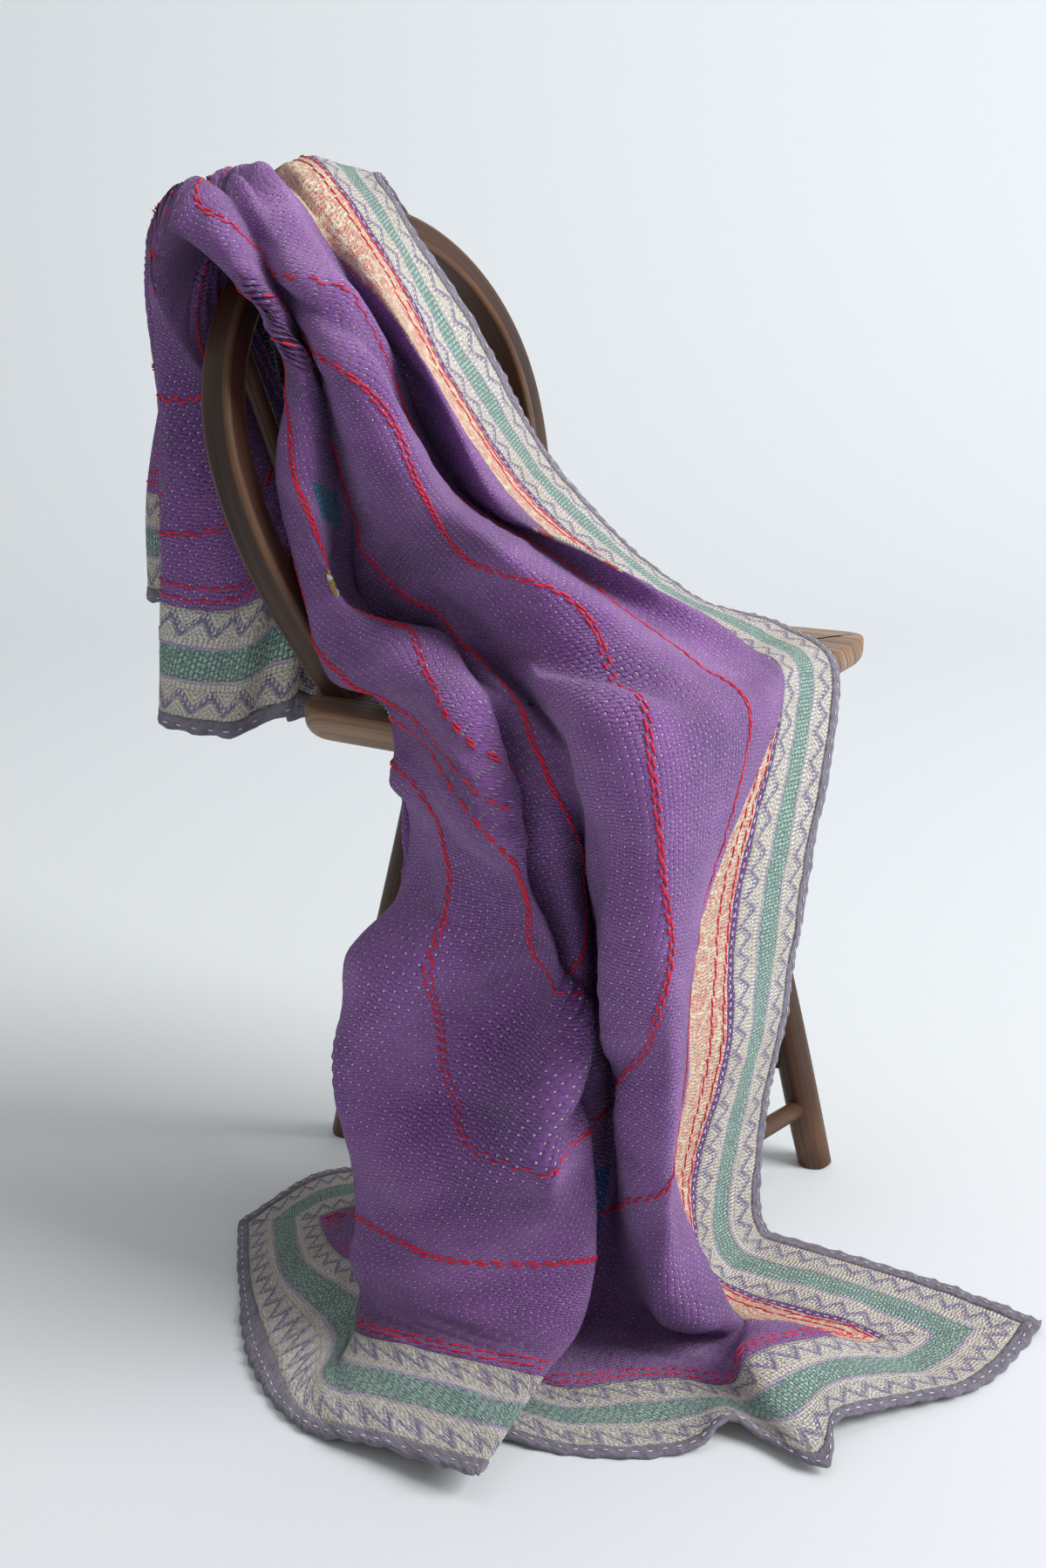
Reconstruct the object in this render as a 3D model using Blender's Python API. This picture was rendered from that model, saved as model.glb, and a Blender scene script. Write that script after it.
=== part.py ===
"""Kantha quilt draped over a plain wooden chair.

A patched and stitched cotton quilt hangs over the bowed back of a small stick chair,
crosses the seat and spills onto the floor. Metres, +Z up; the floor is z = 0.
"""
import math

import bmesh
import bpy
from mathutils import Matrix, Vector

# ---------------------------------------------------------------- quilt, laid flat
QUILT_WIDTH = 1.10          # s runs across, from the left long edge to the right one
QUILT_LENGTH = 1.60         # t runs along, from the front hem to the back hem
THICKNESS = 0.0020          # two or three layers of old cotton, stitched through
BINDING_WIDTH = 0.011       # grey-violet edge binding
BORDER_WIDTH = 0.078        # woven border strip inside the binding
CORAL_WIDTH = 0.054         # printed strip pieced in along the right long side only
CORAL_COLUMNS = 2           # mesh cells across that strip
FOLD_ROOM = 6.0             # mesh columns stay this far apart, in mm
REACH = 6.0                 # directions on the sheet are taken over this distance, in mm
SEAM_GAP = 0.0003           # neighbours lie this far apart
OPEN_SHARE = 4.0            # mitres and the tucked seam stand open this much wider
ROWS = 48                   # rows of the modelled sheet between the two end borders

# the same layout in mm of s and t, as the tables below are
WIDE = QUILT_WIDTH * 1000
LONG = QUILT_LENGTH * 1000
BIND = BINDING_WIDTH * 1000
SEAM = BIND + BORDER_WIDTH * 1000            # border meets field
HALF = (BIND + SEAM) / 2                     # middle of the border
CORAL_SEAM = WIDE - SEAM - CORAL_WIDTH * 1000
GAP = SEAM_GAP * 1000 / 2                    # each side of a seam draws back by this
SEAM_LINE = 3               # the border's seam is the fourth mesh line in from each side

# ---------------------------------------------------------------- how the quilt lies
# Every section crosses the quilt from the left long edge to the right one. Its row says how
# far along the quilt it lies (mm from the front hem); its points sit on the named folds.
FOLDS = ("left_edge", "left_border", "tuck", "roll", "left_panel", "pocket_ridge", "pocket",
         "centre_ridge", "pleat", "panel_edge", "broad_panel", "hollow", "right_ridge",
         "coral_valley", "right_border", "right_edge")

CENTRE = (0.0150, -0.0099)  # where the tables' own zero stands on the floor

# (x, y, z) in mm for each fold, in the order of FOLDS
SECTIONS = (
    ("front_hem", 0, (
        (-269, 36, 2), (-256, -60, 2), (-238, -153, 2), (-198, -229, 3),
        (-139, -268, 13), (-77, -303, 19), (-140, -218, 7), (-30, -256, 3),
        (20, -263, 3), (62, -256, 6), (83, -241, 14), (110, -255, 5),
        (142, -280, 6), (154, -240, 14), (256, -186, 2), (316, -109, 2))),
    ("front_border", 92, (
        (-215, 114, 2), (-190, -2, 2), (-112, -80, 4), (-165, -130, 14),
        (-132, -167, 25), (-36, -209, 28), (-100, -140, 9), (-28, -182, 3),
        (22, -176, 3), (58, -177, 4), (80, -190, 8), (91, -197, 15),
        (99, -190, 30), (150, -163, 28), (196, -127, 3), (245, -46, 2))),
    ("floor_tuck", 158, (
        (-172, 122, 3), (-150, 45, 3), (-85, -40, 3), (-166, -116, 46),
        (-125, -160, 52), (-12, -178, 46), (-80, -105, 14), (-25, -122, 3),
        (15, -126, 3), (45, -128, 3), (75, -125, 4), (94, -132, 6),
        (104, -122, 8), (107, -99, 4), (142, -88, 3), (190, -10, 2))),
    ("floor_hump", 236, (
        (-124, 96, 30), (-113, 33, 33), (-60, -20, 18), (-165, -105, 100),
        (-120, -150, 105), (-2, -160, 100), (-65, -90, 55), (-6, -92, 45),
        (8, -92, 42), (28, -120, 35), (45, -158, 38), (75, -155, 38),
        (92, -128, 32), (82, -70, 22), (92, -30, 10), (134, 24, 5))),
    ("ankle", 318, (
        (-98, 28, 96), (-116, -22, 100), (-45, -50, 92), (-164, -108, 185),
        (-115, -155, 190), (-8, -168, 185), (-55, -95, 135), (0, -110, 140),
        (14, -86, 130), (17, -150, 130), (45, -175, 122), (50, -145, 120),
        (56, -112, 112), (56, -72, 98), (86, -30, 92), (132, 30, 92))),
    ("shin", 408, (
        (-88, -26, 178), (-114, -52, 190), (-54, -84, 190), (-161, -118, 285),
        (-112, -162, 290), (-25, -172, 275), (-58, -124, 230), (-10, -150, 245),
        (8, -104, 230), (6, -184, 240), (42, -208, 230), (53, -172, 220),
        (60, -120, 200), (66, -66, 182), (99, -28, 178), (146, 44, 174))),
    ("knee", 520, (
        (-48, -112, 292), (-127, -88, 300), (-82, -126, 300), (-130, -114, 385),
        (-104, -164, 395), (-55, -184, 375), (-66, -150, 340), (-25, -172, 352),
        (-8, -124, 340), (-4, -212, 355), (36, -236, 352), (57, -188, 332),
        (64, -112, 312), (68, -52, 292), (103, -12, 288), (161, 56, 284))),
    ("seat_edge", 650, (
        (-46, -153, 449), (-127, -103, 450), (-78, -141, 458), (-140, -114, 460),
        (-109, -142, 470), (-78, -162, 462), (-70, -146, 461), (-45, -166, 458),
        (-20, -182, 447), (-20, -210, 470), (30, -228, 478), (82, -166, 464),
        (118, -85, 456), (114, -50, 446), (129, -7, 444), (176, 64, 431))),
    ("seat", 718, (
        (-10, -86, 448), (-147, -66, 448), (-84, -58, 462), (-176, -72, 464),
        (-145, -95, 490), (-110, -76, 494), (-104, -56, 474), (-82, -90, 484),
        (-64, -90, 474), (-48, -135, 496), (26, -140, 502), (68, -80, 480),
        (102, -25, 474), (87, 12, 465), (106, 36, 461), (146, 98, 456))),
    ("low_rise", 800, (
        (10, -10, 450), (-140, -16, 462), (-168, -48, 482), (-191, -62, 512),
        (-168, -80, 522), (-160, -64, 510), (-152, -30, 500), (-118, -72, 530),
        (-98, -95, 536), (-80, -112, 548), (-60, -126, 558), (-25, -70, 542),
        (2, -95, 547), (17, -24, 514), (36, 12, 503), (70, 92, 484))),
    ("mid_rise", 915, (
        (-50, 70, 530), (-160, 24, 544), (-188, -10, 566), (-208, -52, 592),
        (-194, -72, 586), (-182, -68, 578), (-168, -22, 566), (-151, -70, 584),
        (-135, -88, 590), (-120, -94, 594), (-104, -86, 592), (-92, 0, 574),
        (-66, -50, 576), (-50, -8, 566), (-42, 34, 563), (-23, 120, 566))),
    ("high_rise", 1015, (
        (-104, 84, 620), (-188, 40, 634), (-200, -6, 650), (-200, -58, 668),
        (-192, -74, 662), (-184, -70, 656), (-182, -26, 650), (-174, -72, 658),
        (-166, -84, 662), (-156, -88, 664), (-141, -80, 668), (-130, 20, 640),
        (-113, -30, 660), (-105, 2, 652), (-94, 34, 642), (-72, 110, 652))),
    ("shoulder", 1110, (
        (-158, 84, 722), (-190, 44, 724), (-198, 6, 726), (-236, -52, 722),
        (-228, -68, 726), (-220, -64, 730), (-213, -36, 728), (-205, -50, 730),
        (-198, -56, 734), (-190, -52, 736), (-180, -40, 738), (-170, 16, 722),
        (-160, 10, 728), (-152, 40, 738), (-146, 74, 742), (-137, 138, 749))),
    ("crest", 1195, (
        (-200, 78, 759), (-224, 40, 753), (-236, 4, 752), (-276, -38, 745),
        (-268, -22, 768), (-258, 0, 776), (-246, 20, 766), (-240, 24, 778),
        (-234, 40, 768), (-228, 52, 781), (-222, 66, 782), (-216, 80, 770),
        (-212, 92, 782), (-206, 104, 783), (-196, 134, 784), (-153, 206, 771))),
    ("nape", 1275, (
        (-224, 100, 728), (-250, 66, 726), (-252, 30, 722), (-280, -20, 690),
        (-290, 0, 726), (-294, 25, 740), (-268, 52, 732), (-302, 72, 745),
        (-262, 97, 732), (-308, 121, 745), (-226, 149, 735), (-305, 172, 743),
        (-214, 198, 737), (-258, 222, 739), (-196, 240, 738), (-130, 250, 720))),
    ("back", 1415, (
        (-190, 104, 588), (-230, 76, 588), (-200, 44, 583), (-222, 6, 600),
        (-252, -10, 592), (-290, 0, 596), (-248, 50, 602), (-302, 62, 607),
        (-252, 105, 612), (-312, 129, 617), (-241, 169, 622), (-320, 210, 628),
        (-215, 222, 628), (-292, 262, 628), (-215, 268, 628), (-140, 290, 628))),
    ("back_border", 1511, (
        (-170, 116, 493), (-214, 84, 493), (-206, 40, 490), (-203, 4, 516),
        (-248, -14, 496), (-296, 0, 500), (-244, 52, 508), (-306, 68, 513),
        (-246, 110, 518), (-318, 142, 523), (-246, 176, 528), (-340, 222, 534),
        (-228, 236, 534), (-296, 284, 534), (-215, 284, 534), (-145, 312, 534))),
    ("back_hem", 1600, (
        (-170, 122, 405), (-216, 88, 405), (-208, 40, 402), (-204, 0, 426),
        (-248, -16, 408), (-302, 0, 412), (-242, 54, 420), (-308, 72, 425),
        (-246, 114, 430), (-322, 146, 435), (-250, 182, 440), (-345, 230, 446),
        (-232, 244, 446), (-298, 296, 446), (-215, 296, 446), (-148, 322, 446))),
)

# ---------------------------------------------------------------- chair
SEAT_HEIGHT = 0.440         # top of the seat
SEAT_THICKNESS = 0.024
SEAT_ROUNDING = 0.014       # soft worn underside of the seat's edge
SEAT_ARRIS = 0.0025         # small round on the seat's upper edge
CORNER_STEPS = 6            # points round each corner of the seat
FLAT = 1e-6                 # heights closer than this are the same
CHAIR_PLACE = (-0.010, 0.060)
CHAIR_TURN = math.radians(-30)   # the seat's front points along local +X
# corners of the seat seen from above: x to the front, y to the far side, corner radius
SEAT_CORNERS = (
    (0.150, -0.195, 0.030),
    (0.150, 0.187, 0.020),
    (-0.115, 0.150, 0.050),
    (-0.145, 0.000, 0.200),
    (-0.110, -0.195, 0.030),
)
LEG_TOP_RADIUS = 0.0100
LEG_FOOT_RADIUS = 0.0135
LEG_TOP = SEAT_HEIGHT - 0.007
LEG_SPARE = 0.020           # length sawn off below the floor line
LEG_SOCKET_START = 0.060    # the socket's cutter starts this far below the seat's top
LEG_SOCKET_TAPER = 0.0006
LEG_SOCKET_DEPTH = 0.0015   # the socket runs on past the leg's top
# three legs: place of the top under the seat and of the foot on the floor
LEGS = {
    "leg_front_far": ((0.106, 0.117), (0.202, 0.128)),
    "leg_front_near": ((0.008, -0.046), (0.036, -0.072)),
    "leg_rear": ((-0.092, 0.082), (-0.181, 0.183)),
}
STRETCHER_RADIUS = 0.0075
STRETCHER_PAST = 0.003      # each end runs this far past its leg's middle
# each stretcher joins two legs at the given heights
STRETCHERS = {
    "stretcher_front": ("leg_front_far", 0.052, "leg_front_near", 0.060),
    "stretcher_far": ("leg_front_far", 0.092, "leg_rear", 0.100),
    "stretcher_near": ("leg_front_near", 0.110, "leg_rear", 0.130),
}
HOOP_LEAN = math.radians(15)
HOOP_SETBACK = -0.098       # where the hoop meets the seat, behind the seat's middle
HOOP_SHIFT = -0.025
HOOP_FOOT_HALF = 0.126
HOOP_HALF_WIDTH = 0.186
HOOP_WIDEST = 0.165         # height above the seat, along the leaning hoop
HOOP_CREST = 0.313
HOOP_SECTION = (0.021, 0.024)    # across the bend, front to back
HOOP_DEPTH_IN_SEAT = 0.012
HOOP_CORNER = 0.005         # round on the bar's four edges
HOOP_RISE = (0.0, 0.03, 0.06, 0.09, 0.12, 0.145)    # stations of the rising side
HOOP_ARCH_STEP = math.radians(9)
HOOP_ARCH_STEPS = 10
STICK_RADIUS = 0.0065
STICK_IN_SEAT = 0.010
STICK_IN_HOOP = 0.004
# sticks of the back: sideways place at the seat and where they meet the hoop
STICKS = {"stick_near": (-0.105, -0.150), "stick_middle": (-0.025, -0.025), "stick_far": (0.055, 0.100)}
SOCKET_GAP = 0.0004         # a tenon sits this loosely in its socket
SOCKET_END = 0.001          # and its socket runs this far past its end
ROD_SIDES = {"leg": 20, "stretcher": 14, "stick": 12}

COLLECTION = "kantha_quilt_on_chair"
WOOD_DARK = (0.085, 0.045, 0.026)
WOOD_WORN = (0.25, 0.16, 0.11)
PURPLE = (0.20, 0.085, 0.30)
CREAM = (0.60, 0.55, 0.47)
CORAL = (0.72, 0.27, 0.22)
SLATE = (0.16, 0.14, 0.19)


# ---------------------------------------------------------------- scene helpers
def clear_scene():
    for item in list(bpy.data.objects):
        bpy.data.objects.remove(item, do_unlink=True)


def new_collection(name):
    collection = bpy.data.collections.new(name)
    bpy.context.scene.collection.children.link(collection)
    return collection


def make_material(name, colour, roughness):
    material = bpy.data.materials.new(name)
    material.use_nodes = True
    shader = material.node_tree.nodes["Principled BSDF"]
    shader.inputs["Base Color"].default_value = (*colour, 1.0)
    shader.inputs["Roughness"].default_value = roughness
    shader.inputs["Metallic"].default_value = 0.0
    material.diffuse_color = (*colour, 1.0)
    return material


def add_mesh(name, mesh_data, collection, material=None):
    mesh = bpy.data.meshes.new(name)
    mesh_data.to_mesh(mesh)
    mesh_data.free()
    item = bpy.data.objects.new(name, mesh)
    if material:
        mesh.materials.append(material)
    collection.objects.link(item)
    return item


# ---------------------------------------------------------------- draped sheet
def hermite(p0, p1, m0, m1, u):
    """Cubic from p0 to p1 with end slopes m0 and m1, for 0 <= u <= 1."""
    u2, u3 = u * u, u * u * u
    w0, w1, w2, w3 = 2 * u3 - 3 * u2 + 1, u3 - 2 * u2 + u, 3 * u2 - 2 * u3, u3 - u2
    return [w0 * a + w1 * b + w2 * c + w3 * d for a, b, c, d in zip(p0, m0, p1, m1)]


def smooth_through(keys, rows, where):
    """Value at 'where' of the smooth curve that meets each row at its key."""
    last = len(keys) - 1
    i = 0
    while i < last - 1 and where > keys[i + 1]:
        i += 1
    span = keys[i + 1] - keys[i]

    def slope(j):
        lo, hi = max(j - 1, 0), min(j + 1, last)
        return [(b - a) / (keys[hi] - keys[lo]) * span for a, b in zip(rows[lo], rows[hi])]

    return hermite(rows[i], rows[i + 1], slope(i), slope(i + 1), (where - keys[i]) / span)


def fold_places(points):
    """Distance of each fold from the left edge of the cloth, in mm.

    From the right edge back to the roll the cloth has its true width. What is left over
    belongs to the part that is tucked out of sight.
    """
    roll = FOLDS.index("roll")
    places = [WIDE]
    for a, b in zip(points[:roll:-1], points[-2:roll - 1:-1]):
        places.insert(0, places[0] - math.dist(a, b))
    hidden = [0.0]
    for a, b in zip(points[:roll], points[1:roll + 1]):
        hidden.append(hidden[-1] + math.dist(a, b))
    scale = places[0] / hidden[-1]
    return [h * scale for h in hidden[:-1]] + places


class Drape:
    """The middle surface of the quilt: (s, t) on the flat cloth to a place in the room."""

    def __init__(self, sections):
        self.stations = [row[1] for row in sections]
        self.rows = []
        for _, _, points in sections:
            places = fold_places(points)
            self.rows.append([[*point, place] for point, place in zip(points, places)])
        self.cache = {}

    def section(self, t):
        if t not in self.cache:
            self.cache[t] = [
                smooth_through(self.stations, [row[k] for row in self.rows], t)
                for k in range(len(FOLDS))]
        return self.cache[t]

    def place(self, s, t):
        folds = self.section(t)
        keys = [fold[3] for fold in folds]
        x, y, z = smooth_through(keys, [fold[:3] for fold in folds], s)
        return Vector((x, y, z)) / 1000 + Vector((*CENTRE, 0))

    def ways(self, s, t):
        """Directions across and along the cloth."""
        du = self.place(min(s + REACH, WIDE), t) - self.place(max(s - REACH, 0), t)
        dv = self.place(s, min(t + REACH, LONG)) - self.place(s, max(t - REACH, 0))
        return du.normalized(), dv.normalized()

    def beside(self, s, t, to_s, to_t):
        """Place at (s, t), moved square to the seam towards (to_s, to_t)."""
        point = self.place(s, t)
        back = self.place(to_s, to_t) - point
        du, dv = self.ways(s, t)
        if to_t == t:
            back -= dv * back.dot(dv)
        elif to_s == s:
            back -= du * back.dot(du)
        return point + back.normalized() * math.dist((s, t), (to_s, to_t)) / 1000


def between(lo, hi, count):
    return [lo + (hi - lo) * k / count for k in range(1, count)]


def column_lines(drape, t):
    """Mesh columns at distance t: the seams, the folds and a line between folds."""
    folds = [fold[3] for fold in drape.section(t)]
    inner = folds[FOLDS.index("tuck"):FOLDS.index("coral_valley")]
    limit = CORAL_SEAM
    for k in range(len(inner) - 1, -1, -1):
        limit = min(inner[k], limit - FOLD_ROOM)
        inner[k] = limit
    under = max(folds[FOLDS.index("left_border")], SEAM + FOLD_ROOM)
    under = min(under, inner[0] - 2 * FOLD_ROOM)
    lines = [0, BIND, HALF, SEAM, under, (under + inner[0]) / 2]
    for a, b in zip(inner, inner[1:]):
        lines += [a, (a + b) / 2]
    lines += [inner[-1], (inner[-1] + CORAL_SEAM) / 2]
    lines += [CORAL_SEAM, (CORAL_SEAM + WIDE - SEAM) / 2]
    return lines + [WIDE - SEAM, WIDE - HALF, WIDE - BIND, WIDE]


def row_lines():
    middle = between(SEAM, LONG - SEAM, ROWS)
    return [0, BIND, HALF, SEAM] + middle + [LONG - SEAM, LONG - HALF, LONG - BIND, LONG]


def steps_through(before, here, after):
    """Unit steps into and out of a corner; at an edge of the sheet both are the one there is."""
    into = (here - before).normalized()
    out = (after - here).normalized()
    return (into if into.length else out), (out if out.length else into)


def square_to(line, step):
    return (step - line * step.dot(line)).normalized()


def sheet_facing(drape, grid):
    """The way the sheet faces at each corner of the grid.

    The straighter of the two mesh lines through a corner is the fold's own line, and the
    sheet faces halfway between its two sides, however sharp the fold.
    """
    points = [[drape.place(*key) for key in row] for row in grid]
    facing = {}
    for j, row in enumerate(grid):
        above, below = points[min(j + 1, len(grid) - 1)], points[max(j - 1, 0)]
        for i, key in enumerate(row):
            here = points[j][i]
            across = steps_through(points[j][max(i - 1, 0)], here,
                                   points[j][min(i + 1, len(row) - 1)])
            along = steps_through(below[i], here, above[i])
            turns_across = (across[0] + across[1]).length < (along[0] + along[1]).length
            line = (along[0] + along[1] if turns_across else across[0] + across[1]).normalized()
            bent = across if turns_across else along
            middle = square_to(line, bent[0]) + square_to(line, bent[1])
            face = middle.cross(line) if turns_across else line.cross(middle)
            facing[key] = face.normalized()
    return facing


def solid_sheet(name, drape, facing, faces, spot, collection, material):
    """Closed solid from faces of (s, t) corners.

    'spot' pulls a corner back from the seam.
    """
    mesh = bmesh.new()
    upper, lower = {}, {}

    def corner(key, table, height):
        if key not in table:
            point = drape.beside(*key, *spot(*key)) + facing[key] * height
            point.z = max(point.z, 0.0)
            table[key] = mesh.verts.new(point)
        return table[key]

    edges = {}
    for face in faces:
        for k in range(1, len(face) - 1):       # both sides are split along the same diagonal
            half = (face[0], face[k], face[k + 1])
            mesh.faces.new([corner(key, upper, THICKNESS / 2) for key in half])
            mesh.faces.new([corner(key, lower, -THICKNESS / 2) for key in reversed(half)])
        for a, b in zip(face, face[1:] + face[:1]):
            if (b, a) in edges:
                del edges[(b, a)]
            else:
                edges[(a, b)] = True
    for edge in edges:                          # and so are the two walls of a seam
        a, b = sorted(edge)
        mesh.faces.new((upper[a], upper[b], lower[b]))
        mesh.faces.new((upper[a], lower[b], lower[a]))
    bmesh.ops.recalc_face_normals(mesh, faces=mesh.faces)
    if mesh.calc_volume(signed=True) < 0:
        bmesh.ops.reverse_faces(mesh, faces=mesh.faces)
    return add_mesh(name, mesh, collection, material)


def inset(lo_s, hi_s, lo_t, hi_t):
    """Spot function that keeps a piece half a seam gap inside its outline."""
    def spot(s, t):
        return (min(max(s, lo_s + GAP), hi_s - GAP), min(max(t, lo_t + GAP), hi_t - GAP))
    return spot


def binding_spot(s, t):
    """The binding's inner edge draws back from the border; its outer edge stays."""
    if BIND <= t <= LONG - BIND:
        if s == BIND:
            s = BIND - GAP
        if s == WIDE - BIND:
            s = WIDE - BIND + GAP
    if BIND - GAP <= s <= WIDE - BIND + GAP:
        if t == BIND:
            t = BIND - GAP
        if t == LONG - BIND:
            t = LONG - BIND + GAP
    return (s, t)


def side_border_spot(s, t):
    off = s if s < WIDE / 2 else WIDE - s
    off = min(max(off, BIND + GAP), SEAM - GAP)
    mitre = off + GAP * OPEN_SHARE
    return (off if s < WIDE / 2 else WIDE - off, min(max(t, mitre), LONG - mitre))


def end_border_spot(s, t):
    off = t if t < LONG / 2 else LONG - t
    off = min(max(off, BIND + GAP), SEAM - GAP)
    mitre = off + GAP * OPEN_SHARE
    return (min(max(s, mitre), WIDE - mitre), off if t < LONG / 2 else LONG - off)


def make_quilt(collection):
    drape = Drape(SECTIONS)
    grid = [[(s, t) for s in column_lines(drape, t)] for t in row_lines()]
    facing = sheet_facing(drape, grid)
    last_column, last_row = len(grid[0]) - 1, len(grid) - 1

    def cell(i, j):
        return [grid[j][i], grid[j][i + 1], grid[j + 1][i + 1], grid[j + 1][i]]

    def cells(columns, lines):
        return [cell(i, j) for j in lines for i in columns]

    # purple field, and the printed strip between it and the right border
    coral_column = last_column - SEAM_LINE - CORAL_COLUMNS
    field = cells(range(SEAM_LINE, coral_column), range(SEAM_LINE, last_row - SEAM_LINE))
    hidden_seam = SEAM + GAP * (OPEN_SHARE - 1)
    solid_sheet("quilt_field", drape, facing, field,
                inset(hidden_seam, CORAL_SEAM, SEAM, LONG - SEAM), collection,
                make_material("purple cotton", PURPLE, 0.9))
    strip = cells(range(coral_column, last_column - SEAM_LINE),
                  range(SEAM_LINE, last_row - SEAM_LINE))
    solid_sheet("quilt_coral_strip", drape, facing, strip,
                inset(CORAL_SEAM, WIDE - SEAM, SEAM, LONG - SEAM),
                collection, make_material("coral scroll print", CORAL, 0.85))

    # binding: one strip that runs all the way round
    ring = cells([0, last_column - 1], range(last_row))
    ring += cells(range(1, last_column - 1), [0, last_row - 1])
    solid_sheet("quilt_binding", drape, facing, ring, binding_spot, collection,
                make_material("slate violet cotton", SLATE, 0.85))

    # border: four strips, mitred at the corners, where a cell is cut down to a triangle
    cream = make_material("cream woven border", CREAM, 0.85)

    def side_strip(right):
        # corners kept of a mitred cell, by (right strip, back end)
        kept = {(False, False): (0, 2, 3), (False, True): (0, 1, 3),
                (True, False): (1, 2, 3), (True, True): (0, 1, 2)}
        faces = []
        for j in range(1, last_row - 1):
            at_end = j < SEAM_LINE or j >= last_row - SEAM_LINE
            from_end = j if j < SEAM_LINE else last_row - 1 - j
            for i in range(1, SEAM_LINE):
                quad = cell(last_column - 1 - i if right else i, j)
                if not at_end or i < from_end:
                    faces.append(quad)
                elif i == from_end:
                    faces.append([quad[n] for n in kept[(right, j >= SEAM_LINE)]])
        return faces

    def end_strip(back):
        # corners kept of a mitred cell, by (back strip, right end)
        kept = {(False, False): (0, 1, 2), (False, True): (0, 1, 3),
                (True, False): (1, 2, 3), (True, True): (0, 2, 3)}
        faces = []
        for i in range(1, last_column - 1):
            at_side = i < SEAM_LINE or i >= last_column - SEAM_LINE
            from_side = i if i < SEAM_LINE else last_column - 1 - i
            for j in range(1, SEAM_LINE):
                quad = cell(i, last_row - 1 - j if back else j)
                if not at_side or j < from_side:
                    faces.append(quad)
                elif j == from_side:
                    faces.append([quad[n] for n in kept[(back, i >= SEAM_LINE)]])
        return faces

    for name, faces, spot in (
            ("quilt_border_left", side_strip(False), side_border_spot),
            ("quilt_border_right", side_strip(True), side_border_spot),
            ("quilt_border_front", end_strip(False), end_border_spot),
            ("quilt_border_back", end_strip(True), end_border_spot)):
        solid_sheet(name, drape, facing, faces, spot, collection, cream)


# ---------------------------------------------------------------- chair pieces
def chair_matrix():
    place = Vector((*CHAIR_PLACE, 0)) + Vector((*CENTRE, 0))
    return Matrix.Translation(place) @ Matrix.Rotation(CHAIR_TURN, 4, "Z")


def rounded_outline(corners):
    points = []
    for i, (x, y, radius) in enumerate(corners):
        here = Vector((x, y))
        before = Vector(corners[i - 1][:2])
        after = Vector(corners[(i + 1) % len(corners)][:2])
        back, ahead = (before - here).normalized(), (after - here).normalized()
        half = math.acos(max(-1.0, min(1.0, back.dot(ahead)))) / 2
        reach = min(radius / math.tan(half), 0.45 * (before - here).length,
                    0.45 * (after - here).length)
        start, end = here + back * reach, here + ahead * reach
        for k in range(CORNER_STEPS + 1):
            u = k / CORNER_STEPS
            points.append((1 - u) ** 2 * start + 2 * u * (1 - u) * here + u * u * end)
    return points


def make_seat(collection, material):
    mesh = bmesh.new()
    outline = rounded_outline(SEAT_CORNERS)
    base = SEAT_HEIGHT - SEAT_THICKNESS
    face = mesh.faces.new([mesh.verts.new((p.x, p.y, base)) for p in outline])
    grown = bmesh.ops.extrude_face_region(mesh, geom=[face])
    top_verts = [v for v in grown["geom"] if isinstance(v, bmesh.types.BMVert)]
    bmesh.ops.translate(mesh, verts=top_verts, vec=(0, 0, SEAT_THICKNESS))
    bmesh.ops.recalc_face_normals(mesh, faces=mesh.faces)
    rims = {True: [], False: []}
    for line in mesh.edges:
        heights = [v.co.z for v in line.verts]
        if max(heights) - min(heights) < FLAT:
            rims[heights[0] > base + FLAT].append(line)
    bmesh.ops.bevel(mesh, geom=rims[False], offset=SEAT_ROUNDING, offset_type="OFFSET",
                    segments=4, profile=0.5, affect="EDGES", material=-1)
    rim = [line for line in mesh.edges
           if all(v.co.z > SEAT_HEIGHT - FLAT for v in line.verts)
           and any(abs(f.normal.z) < 0.5 for f in line.link_faces)]
    bmesh.ops.bevel(mesh, geom=rim, offset=SEAT_ARRIS, offset_type="OFFSET",
                    segments=2, profile=0.5, affect="EDGES", material=-1)
    mesh.transform(chair_matrix())
    return add_mesh("seat", mesh, collection, material)


def rod(name, kind, start, end, radii, collection, material=None):
    """Round rod between two points, with flat ends square to its axis."""
    start, end = Vector(start), Vector(end)
    axis = end - start
    mesh = bmesh.new()
    bmesh.ops.create_cone(mesh, cap_ends=True, segments=ROD_SIDES[kind], radius1=radii[0],
                          radius2=radii[1], depth=axis.length)
    turn = Vector((0, 0, 1)).rotation_difference(axis.normalized()).to_matrix().to_4x4()
    mesh.transform(Matrix.Translation((start + end) / 2) @ turn)
    return add_mesh(name, mesh, collection, material)


def cut(target, cutter):
    modifier = target.modifiers.new(cutter.name, "BOOLEAN")
    modifier.operation = "DIFFERENCE"
    modifier.object = cutter
    modifier.solver = "EXACT"


def leg_line(name):
    (tx, ty), (fx, fy) = LEGS[name]
    return Vector((tx, ty, LEG_TOP)), Vector((fx, fy, 0.0))


def on_leg(name, height):
    top, foot = leg_line(name)
    return foot.lerp(top, height / top.z)


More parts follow.
